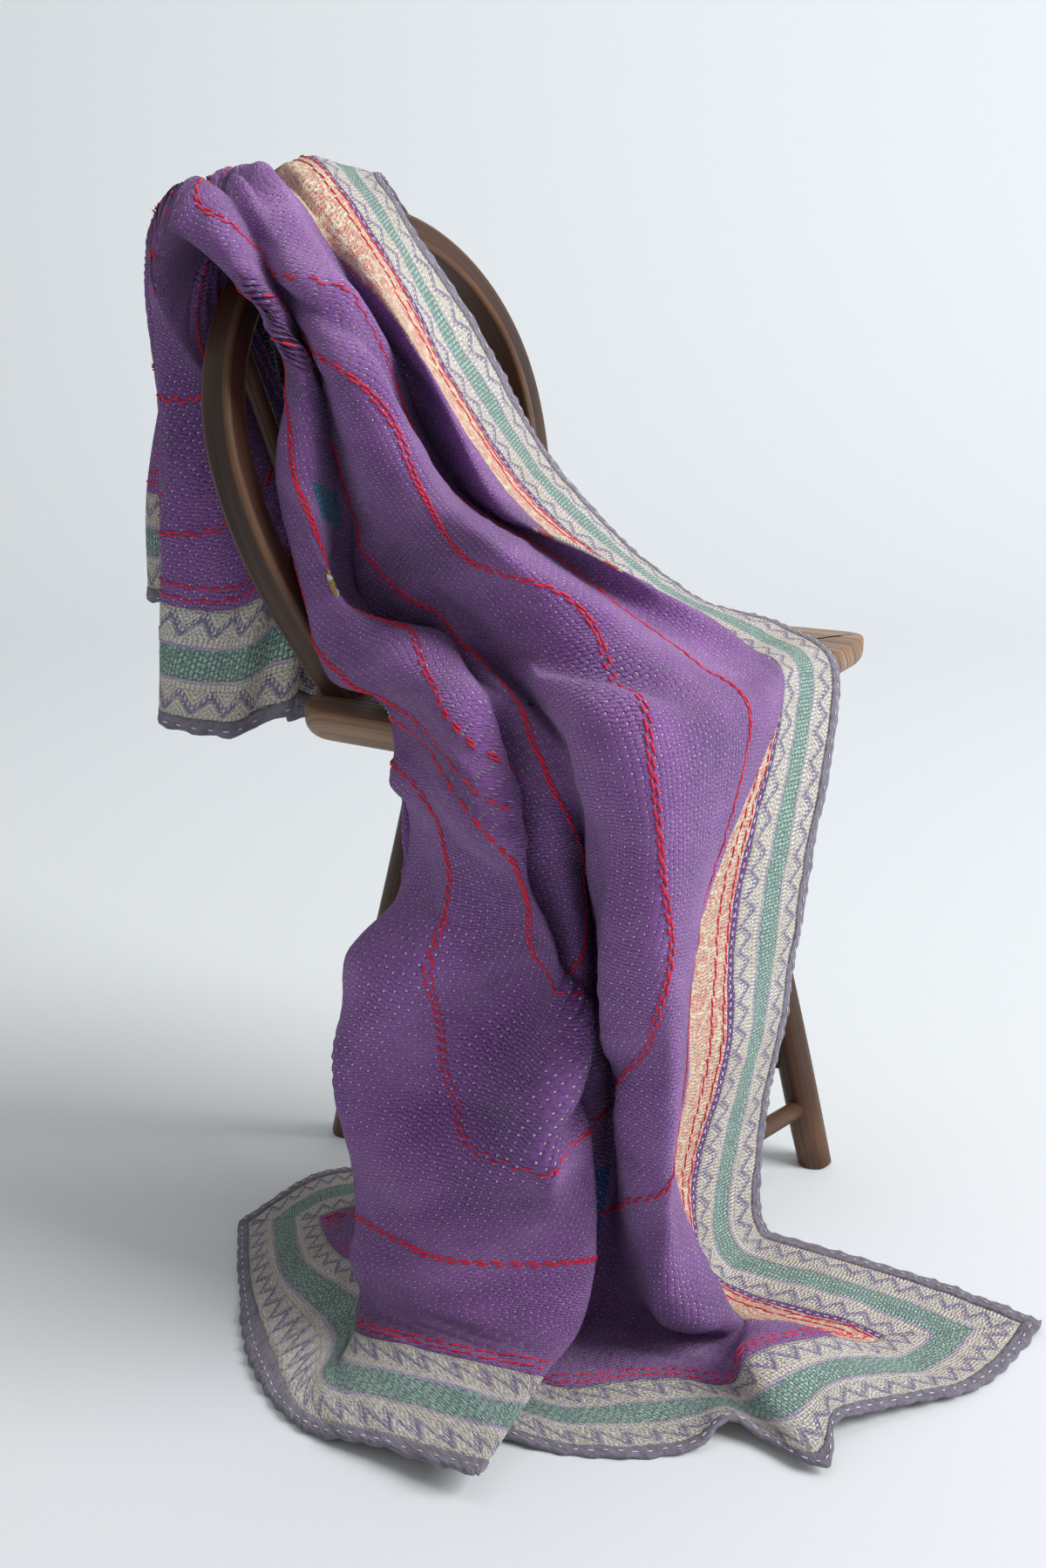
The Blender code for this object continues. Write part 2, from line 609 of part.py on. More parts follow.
def make_leg(name, collection, cutters, material):
    """Leg whose foot is sawn level with the floor."""
    top, foot = leg_line(name)
    up = (top - foot).normalized()
    leg = rod(name, "leg", foot - up * LEG_SPARE, top, (LEG_FOOT_RADIUS, LEG_TOP_RADIUS),
              collection, material)
    mesh = bmesh.new()
    mesh.from_mesh(leg.data)
    whole = mesh.verts[:] + mesh.edges[:] + mesh.faces[:]
    sawn = bmesh.ops.bisect_plane(mesh, geom=whole, dist=FLAT, plane_co=(0, 0, 0),
                                  plane_no=(0, 0, -1), clear_outer=True)
    rim = [e for e in sawn["geom_cut"] if isinstance(e, bmesh.types.BMEdge)]
    bmesh.ops.contextual_create(mesh, geom=rim)
    bmesh.ops.recalc_face_normals(mesh, faces=mesh.faces)
    mesh.to_mesh(leg.data)
    mesh.free()
    loose = LEG_TOP_RADIUS + SOCKET_GAP
    socket = rod("socket_" + name, "leg", on_leg(name, SEAT_HEIGHT - LEG_SOCKET_START),
                 top + up * LEG_SOCKET_DEPTH, (loose + LEG_SOCKET_TAPER, loose), cutters)
    return leg, socket


def pinned_rod(name, kind, start, end, radius, collection, cutters, material):
    """Straight rod and the cutter for its two sockets."""
    way = (end - start).normalized()
    rod(name, kind, start, end, (radius, radius), collection, material)
    loose = radius + SOCKET_GAP
    return rod("hole_" + name, kind, start - way * SOCKET_END, end + way * SOCKET_END,
               (loose, loose), cutters)


def make_stretcher(name, ends, legs, collection, cutters, material):
    leg_a, height_a, leg_b, height_b = ends
    a, b = on_leg(leg_a, height_a), on_leg(leg_b, height_b)
    past = (b - a).normalized() * STRETCHER_PAST
    hole = pinned_rod(name, "stretcher", a - past, b + past, STRETCHER_RADIUS,
                      collection, cutters, material)
    cut(legs[leg_a], hole)
    cut(legs[leg_b], hole)


def hoop_point(side, up):
    """Place in the chair's own axes of a point on the leaning plane of the hoop."""
    back = HOOP_SETBACK - math.sin(HOOP_LEAN) * up
    return Vector((back, side + HOOP_SHIFT, SEAT_HEIGHT + math.cos(HOOP_LEAN) * up))


def hoop_half_width(up):
    if up < HOOP_WIDEST:
        swell = math.sin(math.pi / 2 * max(up, 0.0) / HOOP_WIDEST)
        return HOOP_FOOT_HALF + (HOOP_HALF_WIDTH - HOOP_FOOT_HALF) * swell
    rise = min(1.0, (up - HOOP_WIDEST) / (HOOP_CREST - HOOP_WIDEST))
    return HOOP_HALF_WIDTH * math.sqrt(max(0.0, 1.0 - rise * rise))


def hoop_route():
    """Centre line from one foot over the crest to the other."""
    half = []
    splay = HOOP_DEPTH_IN_SEAT / 2
    half.append((HOOP_FOOT_HALF - splay, -HOOP_DEPTH_IN_SEAT))
    for up in HOOP_RISE:
        half.append((hoop_half_width(up), up))
    for k in range(HOOP_ARCH_STEPS + 1):
        angle = HOOP_ARCH_STEP * k
        half.append((HOOP_HALF_WIDTH * math.cos(angle),
                     HOOP_WIDEST + (HOOP_CREST - HOOP_WIDEST) * math.sin(angle)))
    near = [hoop_point(-w, up) for w, up in half]
    far = [hoop_point(w, up) for w, up in half[-2::-1]]
    return near + far


def make_hoop(name, grow, collection, material=None):
    """Bent bar of rounded square section, swept along the hoop's centre line."""
    wide, deep = (side / 2 + grow for side in HOOP_SECTION)
    section = []
    for sx, sy, turn in ((1, 1, 0), (-1, 1, 90), (-1, -1, 180), (1, -1, 270)):
        for step in (0, 45, 90):
            angle = math.radians(turn + step)
            section.append((sx * (wide - HOOP_CORNER) + HOOP_CORNER * math.cos(angle),
                            sy * (deep - HOOP_CORNER) + HOOP_CORNER * math.sin(angle)))
    route = hoop_route()
    if grow:
        route[0] += (route[0] - route[1]).normalized() * SOCKET_END
        route[-1] += (route[-1] - route[-2]).normalized() * SOCKET_END
    mesh = bmesh.new()
    plane = Vector((math.cos(HOOP_LEAN), 0, math.sin(HOOP_LEAN)))
    rings = []
    for i, point in enumerate(route):
        ahead = (route[min(i + 1, len(route) - 1)] - route[max(i - 1, 0)]).normalized()
        side = ahead.cross(plane).normalized()
        rings.append([mesh.verts.new(point + side * u + plane * v) for u, v in section])
    for a, b in zip(rings, rings[1:]):
        for k in range(len(section)):
            n = (k + 1) % len(section)
            mesh.faces.new([a[k], a[n], b[n], b[k]])
    mesh.faces.new(rings[0])
    mesh.faces.new(rings[-1])
    bmesh.ops.recalc_face_normals(mesh, faces=mesh.faces)
    mesh.transform(chair_matrix())
    return add_mesh(name, mesh, collection, material)


def make_sticks(seat, hoop, collection, cutters, material):
    place = chair_matrix()
    for name, (low, high) in STICKS.items():
        up = HOOP_WIDEST + (HOOP_CREST - HOOP_WIDEST) * math.sqrt(
            1 - (high / HOOP_HALF_WIDTH) ** 2)
        foot = place @ hoop_point(low, 0)
        top = place @ hoop_point(high, up)
        way = (top - foot).normalized()
        hole = pinned_rod(name, "stick", foot - way * STICK_IN_SEAT, top - way * STICK_IN_HOOP,
                          STICK_RADIUS, collection, cutters, material)
        cut(seat, hole)
        cut(hoop, hole)


def make_chair(collection, cutters):
    dark = make_material("dark oak", WOOD_DARK, 0.55)
    worn = make_material("worn seat wood", WOOD_WORN, 0.5)
    seat = make_seat(collection, worn)
    legs = {}
    for name in LEGS:
        legs[name], socket = make_leg(name, collection, cutters, dark)
        cut(seat, socket)
    for name, ends in STRETCHERS.items():
        make_stretcher(name, ends, legs, collection, cutters, dark)
    hoop = make_hoop("hoop", 0.0, collection, dark)
    cut(seat, make_hoop("socket_hoop", SOCKET_GAP, cutters))
    make_sticks(seat, hoop, collection, cutters, dark)


def main():
    clear_scene()
    collection = new_collection(COLLECTION)
    cutters = new_collection("cutters")
    make_chair(collection, cutters)
    make_quilt(collection)
    for item in cutters.objects:
        item.hide_render = True
        item.display_type = "WIRE"


if __name__ == "__main__":
    main()
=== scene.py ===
import math
from collections import namedtuple

import bmesh
import bpy
import numpy as np
from mathutils import Matrix, Vector


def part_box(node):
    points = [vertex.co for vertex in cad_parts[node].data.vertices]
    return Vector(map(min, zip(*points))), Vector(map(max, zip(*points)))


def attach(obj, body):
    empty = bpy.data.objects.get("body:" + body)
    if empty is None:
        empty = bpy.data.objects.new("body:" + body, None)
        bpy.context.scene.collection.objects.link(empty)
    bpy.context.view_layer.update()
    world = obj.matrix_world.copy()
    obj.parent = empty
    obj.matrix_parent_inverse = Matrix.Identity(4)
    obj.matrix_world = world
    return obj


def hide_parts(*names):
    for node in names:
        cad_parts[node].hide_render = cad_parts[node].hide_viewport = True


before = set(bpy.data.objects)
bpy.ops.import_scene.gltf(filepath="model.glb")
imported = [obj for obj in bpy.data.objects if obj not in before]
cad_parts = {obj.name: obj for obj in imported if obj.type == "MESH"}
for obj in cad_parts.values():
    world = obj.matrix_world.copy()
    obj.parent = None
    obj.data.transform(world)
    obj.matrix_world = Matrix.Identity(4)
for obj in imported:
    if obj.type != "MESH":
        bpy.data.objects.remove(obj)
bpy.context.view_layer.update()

bl_info = {
    "name": "Kantha Quilt on a Stick Chair",
    "version": (1, 0, 0),
    "blender": (4, 5, 0),
    "location": "View3D > Sidebar > Quilt",
    "description": "Builds a draped, hand-stitched kantha quilt and the old wooden chair under it",
    "category": "Add Mesh",
}

BODY = "root"
NOISE_CELLS = 97        # the seeded noise repeats after this many cells


def linear(code):
    """Linear colour of an sRGB hex code such as 7D5096."""
    parts = [int(code[k:k + 2], 16) / 255 for k in (0, 2, 4)]
    return tuple(c / 12.92 if c <= 0.04045 else ((c + 0.055) / 1.055) ** 2.4 for c in parts)


# ---------------------------------------------------------------- how the quilt lies
# s crosses the cloth from its left long edge, t runs along it from the front hem (mm)
FOLDS = ("left_edge", "left_border", "tuck", "roll", "left_panel", "pocket_ridge", "pocket",
         "centre_ridge", "pleat", "panel_edge", "broad_panel", "hollow", "right_ridge",
         "coral_valley", "right_border", "right_edge")
CENTRE = np.array((0.0150, -0.0099, 0.0))    # where the table's own zero stands on the floor

# station, t, then (x, y, z) in mm for each fold, in the order of FOLDS
SECTIONS = (
    ("front_hem", 0, (
        (-269, 36, 2), (-256, -60, 2), (-238, -153, 2), (-198, -229, 3),
        (-139, -268, 13), (-77, -303, 19), (-140, -218, 7), (-30, -256, 3),
        (20, -263, 3), (62, -256, 6), (83, -241, 14), (110, -255, 5),
        (142, -280, 6), (154, -240, 14), (256, -186, 2), (316, -109, 2))),
    ("front_border", 92, (
        (-215, 114, 2), (-190, -2, 2), (-112, -80, 4), (-165, -130, 14),
        (-132, -167, 25), (-36, -209, 28), (-100, -140, 9), (-28, -182, 3),
        (22, -176, 3), (58, -177, 4), (80, -190, 8), (91, -197, 15),
        (99, -190, 30), (150, -163, 28), (196, -127, 3), (245, -46, 2))),
    ("floor_tuck", 158, (
        (-172, 122, 3), (-150, 45, 3), (-85, -40, 3), (-166, -116, 46),
        (-125, -160, 52), (-12, -178, 46), (-80, -105, 14), (-25, -122, 3),
        (15, -126, 3), (45, -128, 3), (75, -125, 4), (94, -132, 6),
        (104, -122, 8), (107, -99, 4), (142, -88, 3), (190, -10, 2))),
    ("floor_hump", 236, (
        (-124, 96, 30), (-113, 33, 33), (-60, -20, 18), (-165, -105, 100),
        (-120, -150, 105), (-2, -160, 100), (-65, -90, 55), (-6, -92, 45),
        (8, -92, 42), (28, -120, 35), (45, -158, 38), (75, -155, 38),
        (92, -128, 32), (82, -70, 22), (92, -30, 10), (134, 24, 5))),
    ("ankle", 318, (
        (-98, 28, 96), (-116, -22, 100), (-45, -50, 92), (-164, -108, 185),
        (-115, -155, 190), (-8, -168, 185), (-55, -95, 135), (0, -110, 140),
        (14, -86, 130), (17, -150, 130), (45, -175, 122), (50, -145, 120),
        (56, -112, 112), (56, -72, 98), (86, -30, 92), (132, 30, 92))),
    ("shin", 408, (
        (-88, -26, 178), (-114, -52, 190), (-54, -84, 190), (-161, -118, 285),
        (-112, -162, 290), (-25, -172, 275), (-58, -124, 230), (-10, -150, 245),
        (8, -104, 230), (6, -184, 240), (42, -208, 230), (53, -172, 220),
        (60, -120, 200), (66, -66, 182), (99, -28, 178), (146, 44, 174))),
    ("knee", 520, (
        (-48, -112, 292), (-127, -88, 300), (-82, -126, 300), (-130, -114, 385),
        (-104, -164, 395), (-55, -184, 375), (-66, -150, 340), (-25, -172, 352),
        (-8, -124, 340), (-4, -212, 355), (36, -236, 352), (57, -188, 332),
        (64, -112, 312), (68, -52, 292), (103, -12, 288), (161, 56, 284))),
    ("seat_edge", 650, (
        (-46, -153, 449), (-127, -103, 450), (-78, -141, 458), (-140, -114, 460),
        (-109, -142, 470), (-78, -162, 462), (-70, -146, 461), (-45, -166, 458),
        (-20, -182, 447), (-20, -210, 470), (30, -228, 478), (82, -166, 464),
        (118, -85, 456), (114, -50, 446), (129, -7, 444), (176, 64, 431))),
    ("seat", 718, (
        (-10, -86, 448), (-147, -66, 448), (-84, -58, 462), (-176, -72, 464),
        (-145, -95, 490), (-110, -76, 494), (-104, -56, 474), (-82, -90, 484),
        (-64, -90, 474), (-48, -135, 496), (26, -140, 502), (68, -80, 480),
        (102, -25, 474), (87, 12, 465), (106, 36, 461), (146, 98, 456))),
    ("low_rise", 800, (
        (10, -10, 450), (-140, -16, 462), (-168, -48, 482), (-191, -62, 512),
        (-168, -80, 522), (-160, -64, 510), (-152, -30, 500), (-118, -72, 530),
        (-98, -95, 536), (-80, -112, 548), (-60, -126, 558), (-25, -70, 542),
        (2, -95, 547), (17, -24, 514), (36, 12, 503), (70, 92, 484))),
    ("mid_rise", 915, (
        (-50, 70, 530), (-160, 24, 544), (-188, -10, 566), (-208, -52, 592),
        (-194, -72, 586), (-182, -68, 578), (-168, -22, 566), (-151, -70, 584),
        (-135, -88, 590), (-120, -94, 594), (-104, -86, 592), (-92, 0, 574),
        (-66, -50, 576), (-50, -8, 566), (-42, 34, 563), (-23, 120, 566))),
    ("high_rise", 1015, (
        (-104, 84, 620), (-188, 40, 634), (-200, -6, 650), (-200, -58, 668),
        (-192, -74, 662), (-184, -70, 656), (-182, -26, 650), (-174, -72, 658),
        (-166, -84, 662), (-156, -88, 664), (-141, -80, 668), (-130, 20, 640),
        (-113, -30, 660), (-105, 2, 652), (-94, 34, 642), (-72, 110, 652))),
    ("shoulder", 1110, (
        (-158, 84, 722), (-190, 44, 724), (-198, 6, 726), (-236, -52, 722),
        (-228, -68, 726), (-220, -64, 730), (-213, -36, 728), (-205, -50, 730),
        (-198, -56, 734), (-190, -52, 736), (-180, -40, 738), (-170, 16, 722),
        (-160, 10, 728), (-152, 40, 738), (-146, 74, 742), (-137, 138, 749))),
    ("crest", 1195, (
        (-200, 78, 759), (-224, 40, 753), (-236, 4, 752), (-276, -38, 745),
        (-268, -22, 768), (-258, 0, 776), (-246, 20, 766), (-240, 24, 778),
        (-234, 40, 768), (-228, 52, 781), (-222, 66, 782), (-216, 80, 770),
        (-212, 92, 782), (-206, 104, 783), (-196, 134, 784), (-153, 206, 771))),
    ("nape", 1275, (
        (-224, 100, 728), (-250, 66, 726), (-252, 30, 722), (-280, -20, 690),
        (-290, 0, 726), (-294, 25, 740), (-268, 52, 732), (-302, 72, 745),
        (-262, 97, 732), (-308, 121, 745), (-226, 149, 735), (-305, 172, 743),
        (-214, 198, 737), (-258, 222, 739), (-196, 240, 738), (-130, 250, 720))),
    ("back", 1415, (
        (-190, 104, 588), (-230, 76, 588), (-200, 44, 583), (-222, 6, 600),
        (-252, -10, 592), (-290, 0, 596), (-248, 50, 602), (-302, 62, 607),
        (-252, 105, 612), (-312, 129, 617), (-241, 169, 622), (-320, 210, 628),
        (-215, 222, 628), (-292, 262, 628), (-215, 268, 628), (-140, 290, 628))),
    ("back_border", 1511, (
        (-170, 116, 493), (-214, 84, 493), (-206, 40, 490), (-203, 4, 516),
        (-248, -14, 496), (-296, 0, 500), (-244, 52, 508), (-306, 68, 513),
        (-246, 110, 518), (-318, 142, 523), (-246, 176, 528), (-340, 222, 534),
        (-228, 236, 534), (-296, 284, 534), (-215, 284, 534), (-145, 312, 534))),
    ("back_hem", 1600, (
        (-170, 122, 405), (-216, 88, 405), (-208, 40, 402), (-204, 0, 426),
        (-248, -16, 408), (-302, 0, 412), (-242, 54, 420), (-308, 72, 425),
        (-246, 114, 430), (-322, 146, 435), (-250, 182, 440), (-345, 230, 446),
        (-232, 244, 446), (-298, 296, 446), (-215, 296, 446), (-148, 322, 446))),
)

# creases: width and height (below zero for a trough) in mm, then the places (s, t)
# the crease runs through
CREASES = (
    ("flap valley", 20, -10.0, ((476, 452), (464, 400), (474, 350), (492, 300), (516, 235))),
    ("flap ridge", 16, 24.0, ((508, 462), (508, 400), (520, 350), (544, 300), (570, 235))),
    ("left swell", 24, 15.0, ((424, 520), (410, 450), (405, 380), (412, 300), (420, 230))),
    ("gap side", 14, -4.0, ((712, 620), (706, 552), (640, 440), (575, 360), (600, 290))),
    ("hip ridge", 20, 14.0, ((636, 700), (580, 650), (524, 590), (450, 530), (420, 470))),
    ("hip hollow", 15, -4.0, ((590, 690), (520, 640), (470, 590), (425, 545), (400, 500))),
    ("side ridge", 15, 9.0, ((470, 640), (430, 600), (400, 560), (385, 510))),
    ("corner fold", 15, 4.0, ((385, 415), (392, 360), (400, 300), (396, 240))),
    ("corner dip", 16, -6.0, ((420, 430), (425, 370), (432, 300), (430, 240))),
    ("seat pinch", 14, -5.0, ((560, 700), (620, 735), (690, 765), (740, 800))),
    ("seat roll", 22, 9.0, ((520, 690), (600, 712), (680, 728))),
    ("lap fold", 18, -9.0, ((700, 735), (760, 700), (830, 660))),
    ("lap swell", 30, 7.0, ((720, 570), (728, 640), (740, 720))),
    ("pocket mouth", 15, -5.0, ((560, 770), (600, 820), (640, 880), (670, 930))),
    ("pocket lip", 17, 9.0, ((620, 770), (660, 830), (695, 900))),
    ("shoulder pull", 15, -6.0, ((825, 1130), (815, 1050), (830, 960), (850, 880))),
    ("shoulder swell", 18, 6.0, ((860, 1130), (856, 1060), (868, 980))),
    ("shoulder crease", 13, -5.0, ((905, 1120), (915, 1040), (930, 960))),
    ("panel crease", 16, -5.0, ((690, 620), (700, 520), (712, 420))),
    ("panel swell", 24, 5.0, ((745, 570), (748, 470), (742, 380))),
    ("panel slant", 16, -6.0, ((800, 470), (770, 400), (745, 330), (735, 270))),
    ("ankle break", 15, -6.0, ((600, 360), (530, 322), (470, 318), (410, 330))),
    ("ankle swell", 20, 8.0, ((600, 322), (520, 285), (450, 282))),
    ("flap wave", 18, 4.0, ((580, 195), (500, 178), (420, 186))),
    ("flap dip", 16, -3.6, ((560, 150), (470, 142), (400, 150))),
    ("right hump", 17, 4.5, ((850, 300), (880, 250), (905, 200))),
    ("right dip", 15, -4.5, ((825, 250), (850, 200), (880, 160))),
    ("floor wave", 18, 2.6, ((950, 205), (960, 150), (975, 100))),
    ("corner wave", 18, 2.4, ((985, 95), (1020, 120), (1060, 145))),
    ("back fold", 17, -3.6, ((225, 1500), (240, 1430), (262, 1350))),
    ("back swell", 18, 3.4, ((290, 1500), (300, 1400), (292, 1330))),
)
# loose pleats of the parts tucked behind the front folds: spacing and height, then the patch
# (s, t) from and to where they lie, all in mm
TUCKED_PLEATS = (
    ("behind the knee", 36, 8.0, -60, 205, 285, 640),
    ("under the seat", 34, 10.0, -60, 600, 300, 740),
    ("under the hoop", 34, 12.0, -60, 700, 335, 1300),
    ("behind the back", 38, 8.0, -60, 1260, 215, 1650),
)
TUCKED_FADE = 40
# where folds below pull the cloth aside: middle (s, t), reach across, before and after along t,
# and the shift (x, y, z), all in mm
PULLS = (
    ("notch", 372, 452, 55, 24, 62, (23, 7, 0)),
    ("flap valley", 462, 365, 27, 95, 75, (8, 26, 0)),
    ("pocket back", 548, 465, 28, 62, 55, (3, 26, 0)),
    ("flap ridge", 522, 310, 18, 90, 50, (3, -9, 0)),
    ("pocket cover", 502, 480, 28, 40, 40, (11, -4, 0)),
    ("notch shoulder", 376, 402, 40, 30, 20, (-6, -2, 3)),
)

# red embroidered lines, each a closed round of places (s, t) in mm that the needle wandered by
RED_ROUNDS = (
    ("outer", ((852, 1140), (838, 900), (862, 690), (856, 630), (842, 590), (848, 460), (862, 370),
               (842, 318), (788, 278), (705, 250), (612, 214), (538, 206), (470, 222), (330, 215),
               (248, 262), (232, 500), (240, 900), (222, 1240), (232, 1425), (262, 1466),
               (420, 1462), (640, 1455), (800, 1440), (848, 1330))),
    ("middle", ((768, 1100), (772, 976), (752, 820), (766, 786), (800, 762), (792, 727), (760, 680),
                (745, 628), (748, 560), (764, 512), (772, 464), (786, 420), (760, 352), (650, 330),
                (548, 312), (500, 288), (458, 340), (420, 400), (406, 458), (412, 520), (440, 700),
                (400, 900), (330, 1150), (296, 1340), (330, 1382), (480, 1372), (660, 1365),
                (744, 1300))),
    ("inner", ((690, 1040), (684, 860), (668, 712), (652, 676), (630, 636), (606, 590), (600, 454),
               (548, 424), (490, 416), (458, 436), (462, 500), (490, 620), (505, 780), (480, 980),
               (450, 1200), (470, 1260), (560, 1268), (650, 1250), (686, 1160))),
    ("heart", ((610, 1000), (596, 820), (574, 700), (548, 560), (520, 540), (508, 600), (532, 760),
               (545, 900), (530, 1080), (560, 1130), (600, 1110))),
)
# two rows of red stitches just inside the border: where each lies at the left and right (s) and
# at the front and back (t), in mm
RED_EDGES = (("outer row", 97, 1000, 96, 1504), ("inner row", 105, 989, 104, 1495))

# sewn-on patches: middle (s, t), half width and half length, turn in degrees; then how far
# they stand proud of the field, and the width of that step, all in mm
PATCHES = (("royal blue", 722, 246, 52, 50, 12), ("teal", 634, 916, 20, 17, -8))
PATCH_RISE, PATCH_STEP = 0.6, 3.0


# ---------------------------------------------------------------- what a user may change
def length(name, description, default):
    return bpy.props.FloatProperty(name=name, description=description, default=default,
                                   min=0.0, unit="LENGTH", subtype="DISTANCE", precision=4)


def colour(name, description, code):
    return bpy.props.FloatVectorProperty(name=name, description=description, size=3, min=0.0,
                                         max=1.0, default=linear(code), subtype="COLOR")


class QuiltSizes(bpy.types.PropertyGroup):
    width: length("Width", "Quilt laid flat, from long edge to long edge", 1.10)
    long: length("Length", "Quilt laid flat, from hem to hem", 1.60)
    thickness: length("Thickness", "Layers of old cotton, stitched through", 0.0020)
    binding: length("Binding", "Width of the edge binding", 0.011)
    border: length("Border", "Width of the woven border", 0.078)
    coral: length("Printed strip", "Width of the strip pieced in on the right", 0.054)
    cell: length("Mesh cell", "Spacing of the cloth's mesh", 0.0052)
    edge_cell: length("Edge cell", "Spacing of the mesh of borders and binding", 0.0045)
    ripple: length("Ripple", "Height of the washed-in wrinkles", 0.0021)
    stitch: length("Embroidery stitch", "Length of one red stitch", 0.0092)
    stitch_pitch: length("Embroidery pitch", "From one red stitch to the next", 0.0046)
    stitch_width: length("Embroidery thread", "Width of one red stitch", 0.0018)
    edge_pitch: length("Binding stitch pitch", "From one binding stitch to the next", 0.0095)


class QuiltColours(bpy.types.PropertyGroup):
    purple: colour("Purple", "Ground of the quilt", "834C98")
    # the deep purple is the dye's dark tone and also the painted shade in the pits round the
    # field's stitches
    purple_deep: colour("Deep purple", "Dye where it has stayed dark", "5E3277")
    purple_pale: colour("Faded purple", "Rubbed and faded patches", "A677B8")
    thread: colour("White thread", "Running stitches", "E4DDE8")
    cream: colour("Cream", "Ground of the border", "E4E1DA")
    # the old cream is the border's real soiling and, made darker, the painted shade in its sunken
    # ribs and rungs
    cream_dark: colour("Old cream", "Soiled parts of the border", "CFC5B2")
    lilac: colour("Lilac", "Lines in the border", "A597BC")
    violet_grey: colour("Violet grey", "Zigzags in the border", "7C7198")
    mint: colour("Mint", "Pale floats of the green band", "A8CDC1")
    leaf: colour("Grey green", "Ground of the green band", "688079")
    coral: colour("Coral", "Printed strip", "CF7C74")
    beige: colour("Beige", "Scrolls on the printed strip", "DCCDB0")
    slate: colour("Slate violet", "Binding", "77727F")
    red: colour("Red", "Embroidery thread", "D81E3C")
    royal: colour("Royal blue", "Large patch", "1E4E9E")
    teal: colour("Teal", "Small patch", "1F6C8C")


class ChairSizes(bpy.types.PropertyGroup):
    seat_height: length("Seat height", "Top of the seat above the floor", 0.440)
    seat_thickness: length("Seat thickness", "Plank under the quilt", 0.024)
    hoop_step: length("Hoop step", "Spacing of the rings along the bent back", 0.006)


class ChairColours(bpy.types.PropertyGroup):
    oak_dark: colour("Dark oak", "Grain of legs and back", "1B100A")
    oak: colour("Oak", "Body of legs and back", "4A2A18")
    arris: colour("Worn arris", "Edges rubbed pale", "815A3B")
    seat: colour("Worn seat", "Top of the seat", "A58A72")
    seat_dark: colour("Seat grain", "Grain of the seat", "5E4635")


class StageSettings(bpy.types.PropertyGroup):
    floor: colour("Floor", "Plain pale floor and backdrop", "DEE2E5")
    key: bpy.props.FloatProperty(name="Window light", description="Power of the large soft light",
                                 default=245.0, min=0.0, unit="POWER")
    fill: bpy.props.FloatProperty(name="Fill light", description="Power of the light opposite",
                                  default=1.5, min=0.0, unit="POWER")
    back: bpy.props.FloatProperty(name="Backdrop light", description="Power of the light behind",
                                  default=24.0, min=0.0, unit="POWER")
    sky: bpy.props.FloatProperty(name="Room light", description="Strength of the even light",
                                 default=0.40, min=0.0)


# ---------------------------------------------------------------- the drape
def smooth_through(keys, row, where):
    """Values at where of the smooth curves that meet row(i) at column i of keys."""
    spot = np.arange(len(where))
    last = keys.shape[1] - 1
    i = (where[:, None] > keys[:, 1:-1]).sum(axis=1)
    before, after = np.maximum(i - 1, 0), np.minimum(i + 2, last)
    start, end = row(i), row(i + 1)
    shape = (-1, *[1] * (start.ndim - 1))
    k_before, k_start, k_end, k_after = (keys[spot, j] for j in (before, i, i + 1, after))
    span = k_end - k_start
    slope_in = (end - row(before)) * (span / (k_end - k_before)).reshape(shape)
    slope_out = (row(after) - start) * (span / (k_after - k_start)).reshape(shape)
    u = ((where - k_start) / span).reshape(shape)
    return ((2 * u ** 3 - 3 * u ** 2 + 1) * start + (u ** 3 - 2 * u ** 2 + u) * slope_in
            + (3 * u ** 2 - 2 * u ** 3) * end + (u ** 3 - u ** 2) * slope_out)


def soft_noise(s, t, cell_s, cell_t, seed):
    """Smooth seeded noise from -1 to 1, with its own spacing across and along the cloth."""
    dice = np.random.default_rng(seed)
    table = dice.uniform(-1, 1, (NOISE_CELLS, NOISE_CELLS))
    u, v = s / cell_s, t / cell_t
    i, j = np.floor(u).astype(int), np.floor(v).astype(int)
    u, v = u - i, v - j
    u, v = u * u * (3 - 2 * u), v * v * (3 - 2 * v)
    a, b, c, d = (table[(i + across) % NOISE_CELLS, (j + along) % NOISE_CELLS]
                  for along in (0, 1) for across in (0, 1))
    return (a * (1 - u) + b * u) * (1 - v) + (c * (1 - u) + d * u) * v


